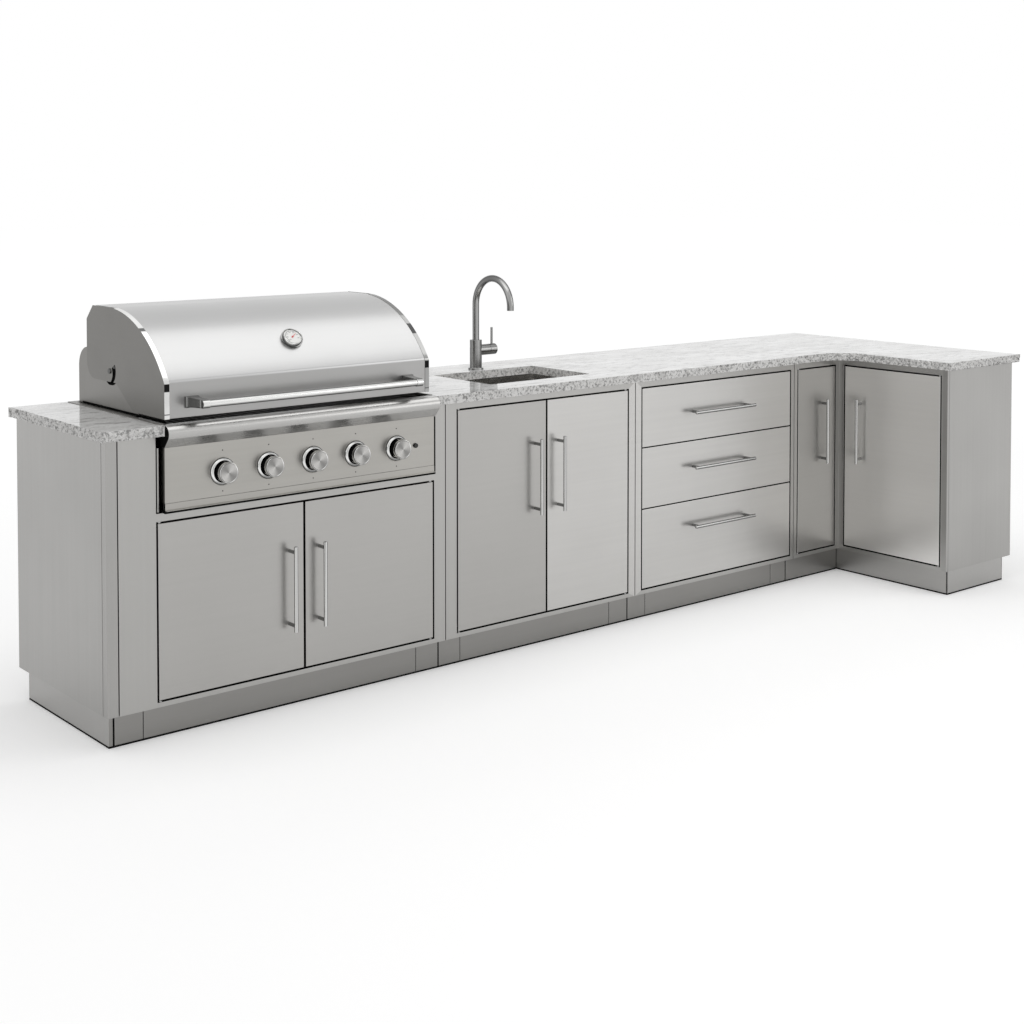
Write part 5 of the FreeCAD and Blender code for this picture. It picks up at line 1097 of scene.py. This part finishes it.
def tick(turn, length, width):
    select_none()
    bpy.ops.mesh.primitive_cube_add(size=1, location=(0, (27.2 - length / 2) * MM, 0))
    mark = bpy.context.object
    mark.scale = (width * MM, length * MM, 0.1 * MM)
    bpy.context.view_layer.update()
    return on_dial(mark, turn)


def numeral(text, turn):
    """One number of the scale, upright on the dial."""
    select_none()
    angle, away = math.radians(90 - turn), 18.6 * MM
    bpy.ops.object.text_add(location=(away * math.cos(angle), away * math.sin(angle), 0))
    made = bpy.context.object
    made.data.body = text
    made.data.size = 5.4 * MM
    made.data.align_x = "CENTER"
    made.data.align_y = "CENTER"
    made.data.extrude = 0.05 * MM
    alone(made)
    bpy.ops.object.convert(target="MESH")
    return on_dial(bpy.context.object, 0.0)


def scale_arc():
    """The grey band round the left and top of the dial."""
    made = single_point("scale_arc")
    angle, away = math.radians(-DIAL_ZERO), 22.6 * MM
    bpy.ops.transform.translate(value=(-away * math.sin(angle), away * math.cos(angle), 0))
    bpy.ops.mesh.spin(steps=40, angle=math.radians(175), center=(0, 0, 0), axis=UP,
                      use_auto_merge=False)
    select_mesh()
    bpy.ops.mesh.extrude_edges_move()
    bpy.ops.transform.resize(value=(1.06, 1.06, 1.0), center_override=(0, 0, 0))
    merged(outwards=False)
    closed(made)
    modified(made, "SOLIDIFY", thickness=0.08 * MM, offset=0)
    bpy.context.view_layer.update()
    return on_dial(made, 0.0)


marks = [tick(DIAL_ZERO + 20 * n, *((2.6, 0.45) if n % 2 else (4.2, 0.7))) for n in range(14)]
marks += [numeral(str(100 + 100 * n), DIAL_ZERO + 40 * n) for n in range(7)]
marks.append(scale_arc())
for piece in (dial, painted(joined("dial_scale", marks), dial_grey)):
    fitted(piece, "hood", "chrome")
fitted(case, "hood", "chrome", "thermometer_case")


def dial_pointer():
    """The pointer, a long flat wedge, and its hub."""
    hub = lathe("dial_needle_hub", [(1.1, 0), (3.0, 0), (3.2, 0.3), (3.0, 0.9), (1.1, 0.9),
                                    (1.1, 0)], seat + way * (DIAL_LIFT + 0.05), way, 32)
    wedge = single_point("pointer")
    bpy.ops.transform.translate(value=(-1.5 * MM, -6.4 * MM, 0))
    for dx, dy in ((3.0, 0), (-1.2, 28.2), (-0.6, 0), (-1.2, -28.2)):
        step(dx, dy, 0)
    merged(outwards=False)
    bpy.ops.mesh.edge_face_add()
    step(0, 0, 0.7)
    merged()
    on_dial(closed(wedge), 52.0, DIAL_LIFT + 0.1)
    cut(wedge, lathe("pin_hole", [(0, 8), (1.15, 8), (1.15, 18), (0, 18)], seat, way, 24))
    return joined("dial_pointer", [hub, wedge])


fitted(painted(dial_pointer(), needle_red), "dial_needle", "needle_red", "thermometer_needle")


# Bullnose rail, fascia, knobs and igniter


def bullnose():
    """The rounded rail over the fascia: flat on top, round in front, sloping back below."""
    r, cy, cz = 24.0, -23.0, 890.0
    made = traced("bullnose", (cy, cz + r),
                  [("arc", cy, cz, 125.0, 20), ("to", FASCIA_FRONT, 850.0), ("to", 8.0, 850.0),
                   ("to", 8.0, cz + r), ("to", cy, cz + r)])
    carried(made, 172.0, 1138.0, filled=True)
    return eased(made, 1.2, 3, 20)


rail = painted(bullnose(), rail_steel)
# Painted shade: the rail's end faces are black, a dark line where it meets the frame.
painted(rail, painted_shade_black, lambda middle, normal: abs(normal.x) > 0.9)
fitted(rail, "root", "polished_steel", "front_rail")


def drawn_in(obj):
    """Moves the right-hand end of a front sheet in, to open the dark joint beside the frame."""
    limit = at(1130, 0, 0).x
    pick(obj, "VERT", lambda place, normal: place.x > limit)
    bpy.ops.transform.translate(value=(-6.5 * MM, 0, 0))
    return closed(obj)


fascia = eased(drawn_in(from_solid("control_panel", "fascia")), 0.7, 2, 40)
fitted(painted(fascia, fascia_steel), "root", "carcass_steel", "control_panel")

stud_profile = [(0, 0), (1.9, 0), (1.7, 0.5), (1.2, 0.8), (0, 0.9)]
studs = [lathe("stud", stud_profile, (x, FASCIA_FRONT, KNOB_Z + lift), FORWARD, 14)
         for x in KNOB_XS for lift in (62, -58)]
# Painted shade: the fascia's studs are dark, showing as holes.
fitted(painted(joined("fascia_studs", studs), hole_shade), "root", "carcass_steel")

bezel_profile = [(28.5, 0), (42.0, 0), (42.0, 2.2), (41.5, 4.4), (40.1, 6.8), (38.0, 8.6),
                 (35.4, 9.7), (33.2, 10.0), (31.0, 9.5), (29.4, 8.2), (28.5, 6.4), (28.5, 0)]
bezels = [lathe("bezel", bezel_profile, (KNOB_XS[0], FASCIA_FRONT, KNOB_Z), FORWARD, 72)]
bezels += [copied(bezels[0], "bezel", (x - KNOB_XS[0], 0, 0)) for x in KNOB_XS[1:]]
fitted(painted(joined("knob_rings", bezels), plated), "root", "chrome", "knob_bezels")

knob_profile = [(0, -47.8), (3.2, -47.8), (4, -47), (4, 1), (25.7, 1), (26.5, 1.8), (26.5, 27),
                (30.2, 27), (31.2, 27.5), (31.5, 28.6), (31.5, 36.8), (31.1, 38.5), (30.1, 39.6),
                (28.7, 40.0), (27.7, 39.6), (27.0, 39.1), (12.0, 38.5), (0, 38.3)]
first_knob = lathe("knob", knob_profile, (KNOB_XS[0], FASCIA_FRONT, KNOB_Z), FORWARD, 96, 30)
knob_neck, knob_shoulder, knob_rim = (at(0, y, 0).y for y in (-20.5, -47.1, -58.2))
painted(first_knob, plated)
# Painted shade: the narrow neck between the bezel and the knob's cap is black.
painted(first_knob, painted_shade_black, lambda middle, normal: knob_shoulder < middle.y < knob_neck)
painted(first_knob, knob_face, lambda middle, normal: middle.y < knob_rim and normal.y < -0.95)
for number, x in enumerate(KNOB_XS, 1):
    made = copied(first_knob, "burner_knob_%d_turned" % number, (x - KNOB_XS[0], 0, 0))
    fitted(made, "burner_knob_%d" % number, "chrome", "knob_%d" % number)
bpy.data.objects.remove(first_knob)

button = lathe("igniter_cap", [(0, -21.8), (3.4, -21.8), (3.9, -21.2), (3.9, 0), (7.5, 0),
                               (7.5, 4.4), (7.0, 5.6), (6.0, 6.0), (4.6, 5.5), (0, 5.2)],
               (1057, FASCIA_FRONT, KNOB_Z), FORWARD, 40)
fitted(painted(button, black), "igniter", "chrome", "igniter_button")


# Sink and tap

WASTE = (1690, 255, 714)
RIM_Z = 884
TAP = (1695.0, 470.0, COUNTER_TOP)
LEVER_AXIS = (TAP[0] + 75, TAP[1], TAP[2] + 70)


def bowl():
    """A pressed bowl: rounded corners and foot, a flat rim, and a hole for the waste."""
    tub = block("sink_tub", (1459, 94, WASTE[2]), (1921, 416, RIM_Z))
    without(tub, lambda middle, normal: normal.z > 0.9)
    pick(tub, "EDGE", lambda middle, way: abs(way.z) > 0.9)
    bpy.ops.mesh.bevel(offset=21.8 * MM, segments=8, affect="EDGES")
    floor, rim = at(0, 0, WASTE[2]).z, at(0, 0, RIM_Z).z
    pick(tub, "EDGE", lambda middle, way: abs(middle.z - floor) < 0.0001)
    bpy.ops.mesh.bevel(offset=9 * MM, segments=4, affect="EDGES")
    pick(tub, "EDGE", lambda middle, way: abs(middle.z - rim) < 0.0001 and abs(way.z) < 0.1)
    bpy.ops.mesh.extrude_edges_move()
    bpy.ops.transform.resize(value=(506 / 462, 366 / 322, 1),
                             center_override=tuple(at(*WASTE[:2], RIM_Z)))
    select_mesh()
    bpy.ops.mesh.normals_make_consistent(inside=True)
    thickened(closed(tub), 1.4)
    drilled(tub, 36.0, (*WASTE[:2], 700), (*WASTE[:2], 730), 0.2, 48)
    return smooth(tub)


def strainer_holes():
    """The strainer's holes, dark spots of painted shade in two rings."""
    holes = []
    for ring, count in ((12.0, 8), (19.0, 14)):
        for n in range(count):
            a = 2 * math.pi * n / count
            middle = (WASTE[0] + ring * math.cos(a), WASTE[1] + ring * math.sin(a), 710.2)
            holes.append(lathe("hole", [(0, 0), (1.7, 0), (1.7, 0.25), (0, 0.25)], middle, UP, 10))
    return joined("strainer_holes", holes)


fitted(painted(bowl(), bowl_steel), "root", "sink_steel", "sink_bowl")
waste_fitting = [
    lathe("strainer", [(0, -8), (35.5, -8), (35.5, 0.6), (42, 0.6), (42, 1.5), (41, 2), (32, 2),
                       (28, -3.4), (8, -4), (5, -2.6), (0, -2.2)], WASTE, UP, 64),
    lathe("waste_nut", [(35.6, -10), (42, -10), (42, -4.2), (35.6, -4.2), (35.6, -10)],
          WASTE, UP, 8),
    lathe("waste_tail", [(17, -8), (17, -116), (19, -116), (19, -10), (35, -10), (35, -8),
                         (17, -8)], WASTE, UP, 40),
]
holes = strainer_holes()
fitted(painted(joined("waste_fitting", waste_fitting), plated), "root", "waste_brass", "sink_waste")
# Painted shade: the strainer's holes are dark discs.
fitted(painted(holes, hole_shade), "root", "waste_brass")

tap_pieces = [
    lathe("tap_column", [(12.55, 79.3), (22.0, 79.3), (22.5, 108.2), (21.6, 109), (13.4, 109),
                         (12.55, 108.2), (12.55, 79.3)], TAP, UP, 56),
    lathe("tap_base", [(0, 0.1), (28.5, 0.1), (28.5, 3.6), (27.6, 5.4), (26, 6), (23.2, 6),
                       (22.5, 7), (22.5, 79.6), (0, 79.6)], TAP, UP, 56),
    lathe("tap_shank", [(0, -60), (13, -60), (14, -59), (14, 0.2), (0, 0.2)], TAP, UP, 32),
    lathe("tap_nut", [(14, -36), (28, -36), (28, -30.1), (14, -30.1), (14, -36)], TAP, UP, 6),
    lathe("tap_housing", [(0, 0), (20, 0), (20, 57), (19.4, 57.9), (12.2, 57.9), (12.1, 47.5),
                          (0, 47.5)], (TAP[0], TAP[1], LEVER_AXIS[2]), RIGHT, 48),
]
fitted(painted(joined("tap_body", tap_pieces), tap_steel), "root", "chrome", "faucet_body")


def gooseneck():
    """A tube bent from the column up, over and down to its outlet ring."""
    rise, bend, drop, start = 241.0, 100.0, 12.0, 79.5
    select_none()
    bpy.ops.mesh.primitive_circle_add(vertices=36, radius=12.45 * MM, fill_type="NGON",
                                      location=at(TAP[0], TAP[1], TAP[2] + start))
    neck = bpy.context.object
    neck.name = "tap_gooseneck"
    settled(neck)
    opened(neck)
    select_mesh()
    step(0, 0, rise - start)
    centre = at(TAP[0], TAP[1] - bend, TAP[2] + rise)
    bpy.ops.mesh.spin(steps=40, angle=-math.pi, center=centre, axis=RIGHT, use_auto_merge=False)
    step(0, 0, -(drop - 0.2))
    end = tuple(at(TAP[0], TAP[1] - 2 * bend, TAP[2] + rise - drop))
    step(0, 0, 0)
    bpy.ops.transform.resize(value=(0.84, 0.84, 1), center_override=end)
    step(0, 0, 8)
    merged()
    smooth(closed(neck))
    outlet = lathe("aerator", [(0, 3.5), (10.2, 3.5), (10.2, 0.6), (8.8, 0.4), (8.4, 2.2),
                               (0, 2.4)], (TAP[0], TAP[1] - 2 * bend, TAP[2] + rise - drop), UP, 32)
    return joined("tap_gooseneck", [neck, outlet])


def lever_rod():
    """The hub on its pin, and the thin rod that is held."""
    hub = lathe("lever_hub", [(2.1, -4.6), (6.6, -4.6), (7, -4.2), (7, 4.2), (6.6, 4.6), (2.1, 4.6),
                              (2.1, -4.6)], LEVER_AXIS, (0, 1, 0), 32)
    stem = lathe("lever_stem", [(0, 4), (4.2, 4), (4.2, 14), (4.5, 16), (4.5, 79), (4.2, 80.6),
                                (3.2, 81.7), (0, 82)], LEVER_AXIS, UP, 32)
    x, y, z = LEVER_AXIS
    drilled(stem, 2.1, (x, y - 9, z), (x, y + 9, z), 0.1, 24)
    return joined("tap_lever_rod", [hub, stem])


fitted(painted(gooseneck(), tap_steel), "spout", "chrome", "faucet_spout")
cap = eased(from_solid("mixer_cap", "tap_cap_drum"), 0.6, 2, 40)
fitted(painted(cap, tap_steel), "tap_cap", "chrome", "mixer_cap")
fitted(painted(lever_rod(), tap_steel), "tap_lever", "chrome", "mixer_lever")


# Cabinets and panels, from their solids with eased edges

# The grill housing's sides take a dark copy of the steel, painted shade.
CASEWORK = (("grill_cabinet", carcass, 0.5), ("sink_cabinet", carcass, 0.5),
            ("drawer_cabinet", carcass, 0.5), ("corner_cabinet", carcass, 0.5),
            ("end_panels", panel_steel, 0.9), ("plinth_panels", plinth_steel, 0.4),
            ("grill_housing", grill_side_painted_shade, 0.5))
OPENING_SHADE_DEPTH = (0.0003, 0.0206)
LIGHT_STILES = at(1960, 0, 0).x, at(2110, 0, 0).x


def in_opening(middle, normal):
    """Tests for the inner faces of the door and drawer openings, painted black as shade in the
    joints.
    """
    near, far = OPENING_SHADE_DEPTH
    behind_front = middle.y - FRONT_FACE
    behind_return = middle.x - RETURN_FACE
    main_run = near < behind_front < far and abs(normal.y) < 0.3 and behind_return < 0
    return_leg = near < behind_return < far and abs(normal.x) < 0.3 and behind_front < 0
    return main_run or return_leg


for node, material, width in CASEWORK:
    made = from_solid(node, "sheet_" + node)
    painted(eased(made, width, 2, 50), material)
    if node == "plinth_panels":
        # Painted shade: the main run's front faces take the darker copy of the plinth's steel.
        painted(made, plinth_front_painted_shade,
                lambda middle, normal: normal.y < -0.97 and middle.y > FRONT_FACE)
    # Painted light: the stiles between the sink and the drawers take the lighter copy of the steel.
    if node in ("sink_cabinet", "drawer_cabinet"):
        painted(made, fronts_painted_light,
                lambda middle, normal: LIGHT_STILES[0] < middle.x < LIGHT_STILES[1])
    # Painted shade: the inner faces of the openings are black, darkening the joints round doors and
    # drawers.
    if node.endswith("_cabinet"):
        painted(made, painted_shade_black, in_opening)
    fitted(made, "root", "carcass_steel", node)


# Black strips of painted shade, covers and the drip tray


def plinth_shade_strips():
    """Black strips of painted shade along the foot of the plinth, and one behind each of its
    upright joints.
    """
    left, inner, right = 22.0, CORNER_X + 40.0, RUN_END - 22.0
    tip, front = -500.0, 40.0
    route = [(left, 598.0), (left, front), (inner, front), (inner, tip), (right, tip),
             (right, 578.0)]
    near, far, low, high = 0.4, 3.4, 0.3, 6.6
    strips = []
    for (x0, y0), (x1, y1) in zip(route[:-1], route[1:]):
        x0, x1, y0, y1 = min(x0, x1), max(x0, x1), min(y0, y1), max(y0, y1)
        if y0 == y1:
            y0, y1 = y0 + near, y0 + far
        elif x0 == right:
            x0, x1 = x0 - far, x0 - near
        else:
            x0, x1 = x0 + near, x0 + far
        # Painted shade: a black strip along the plinth's foot.
        strips.append(block("seal", (x0, y0, low), (x1, y1, high)))
    joints = ((34.0, 41.0), (1190.0, 1196.0), (2057.0, 2063.0), (2939.0, 2945.0), (3258.0, 3263.6),
              (127.0, 131.0), (1099.0, 1103.0), (1284.0, 1286.5), (1966.0, 1970.0),
              (2150.0, 2153.0), (2848.0, 2852.0))
    for x0, x1 in joints:
        strips.append(block("joint", (x0 - 4, 41.8, 3.0), (x1 + 4, 43.4, 97.8)))
    strips.append(block("joint", (3262.0, -498.2, 3.0), (3272.0, -496.6, 97.8)))
    return joined("plinth_shade_strips", strips)


# Painted shade: black strips along the plinth's foot and behind its joints.
fitted(painted(plinth_shade_strips(), painted_shade_black), "root", "carcass_steel")
covers = [eased(block("cover", low, high), 0.3)
          for low, high in (((-0.8, 28.0, 101.0), (-0.05, 596.0, 882.5)),
                            ((3236.0, -522.8, 101.0), (3606.0, -522.05, 882.5)))]
fitted(painted(joined("panel_covers", covers), panel_steel), "root", "carcass_steel")
tray = eased(drawn_in(from_solid("drip_tray", "sheet_drip_tray")), 0.5, 2, 50)
fitted(painted(tray, fascia_steel), "tray", "carcass_steel", "drip_tray")
lip = eased(block("side_lip", (157.6, 0.1, 664.0), (163.0, 2.2, 848.0)), 0.3)
fitted(painted(lip, carcass), "root", "carcass_steel")
# Painted shade: black strips under the fascia's tray and beside it, in the dark joints there.
joint_shades = [block("tray_joint_shade", (172.6, -20.6, 660.4), (1137.4, -1.0, 667.9)),
         block("side_joint_shade", (1131.7, -19.8, 668.2), (1137.6, -1.0, 848.0))]
fitted(painted(joined("front_joint_shades", joint_shades), painted_shade_black), "root", "carcass_steel")

# CAD nodes that show as they are
KEPT = {"levelling_feet": black, "pivot_pins": tap_steel, "drawer_slide_rails": zinc,
        "firebox": inner_steel, "burners": inner_steel, "heat_tents": inner_steel,
        "cooking_grates": iron, "gas_manifold": aluminium}
for node, material in KEPT.items():
    painted(frame["nodes"][node], material)


# Studio: floor, light and camera

HALF_LONG, HALF_DEEP = 1.85, 0.6
WHITE = (1, 1, 1, 1)


def background_seen(tree):
    """1 for rays of the camera, of gloss and of glass, which all see the pale surroundings."""
    path = add(tree, "ShaderNodeLightPath").outputs
    seen = worked(tree, "MAXIMUM", path["Is Camera Ray"], path["Is Glossy Ray"])
    return worked(tree, "MAXIMUM", seen, path["Is Transmission Ray"])


def studio_floor():
    """A pale floor that keeps the lamps' shadow, its glow painted dimmer near the piece as shade,
    going over to white away from it.
    """
    select_none()
    bpy.ops.mesh.primitive_plane_add(size=90, location=(0, 0, 0))
    floor = bpy.context.object
    floor.name = "studio_floor"
    material, tree, shader = new_material("pale_floor", roughness=1.0, Specular_IOR_Level=0.0)
    feed(shader, {"Base Color": (0.93, 0.93, 0.93, 1)})
    place = axes(tree, place_on(tree))
    reach = [worked(tree, "MAXIMUM", worked(tree, "SUBTRACT",
                                            worked(tree, "ABSOLUTE", place[way]), half), 0.0)
             for way, half in (("X", HALF_LONG), ("Y", HALF_DEEP))]
    # Painted shade: the glow is dimmer near the piece.
    glow_with_painted_shade = remap(tree, distance(tree, *reach), 0.2, 5.0, 0.225, 0.445)
    strength = times(tree, background_seen(tree), glow_with_painted_shade)
    glow = add(tree, "ShaderNodeEmission", {"Strength": strength}).outputs[0]
    both = add(tree, "ShaderNodeAddShader", {0: shader.outputs[0], 1: glow}).outputs[0]
    feed(tree.nodes["Material Output"], {"Surface": both})
    floor.data.materials.append(material)


def studio_world():
    """Soft light all round, and plain white for the background."""
    world = bpy.data.worlds.new("studio")
    bpy.context.scene.world = world
    world.use_nodes = True
    tree = world.node_tree
    plain = feed(tree.nodes["Background"], {"Color": WHITE, "Strength": 0.6}).outputs[0]
    white = add(tree, "ShaderNodeBackground", {"Color": WHITE, "Strength": 1.0}).outputs[0]
    mix = add(tree, "ShaderNodeMixShader", {0: background_seen(tree), 1: plain, 2: white})
    feed(tree.nodes["World Output"], {"Surface": mix.outputs[0]})


def softbox(name, location, target, wide, tall, watts):
    data = bpy.data.lights.new(name, "AREA")
    data.shape = "RECTANGLE"
    data.size, data.size_y, data.energy = wide, tall, watts
    lamp = bpy.data.objects.new(name, data)
    bpy.context.scene.collection.objects.link(lamp)
    lamp.location = location
    lamp.rotation_euler = (Vector(target) - Vector(location)).to_track_quat("-Z", "Y").to_euler()


studio_floor()
studio_world()
softbox("key_light", (4.2, -4.6, 2.8), (0.2, 0, 0.6), 4.0, 3.0, 45)
softbox("top_light", (-0.4, -0.2, 4.2), (-0.4, 0.0, 0.9), 6.0, 3.0, 56)

camera_data = bpy.data.cameras.new("camera")
camera_data.lens = 55.41
camera_data.sensor_width = 36.0
camera_data.shift_y = -0.2702
camera = bpy.data.objects.new("camera", camera_data)
bpy.context.scene.collection.objects.link(camera)
camera.location = (-3.7586, -4.1217, 1.6129)
camera.rotation_euler = (math.radians(90 - 2), 0, math.radians(-39.82))
bpy.context.scene.camera = camera
bpy.context.scene.view_settings.view_transform = "Standard"
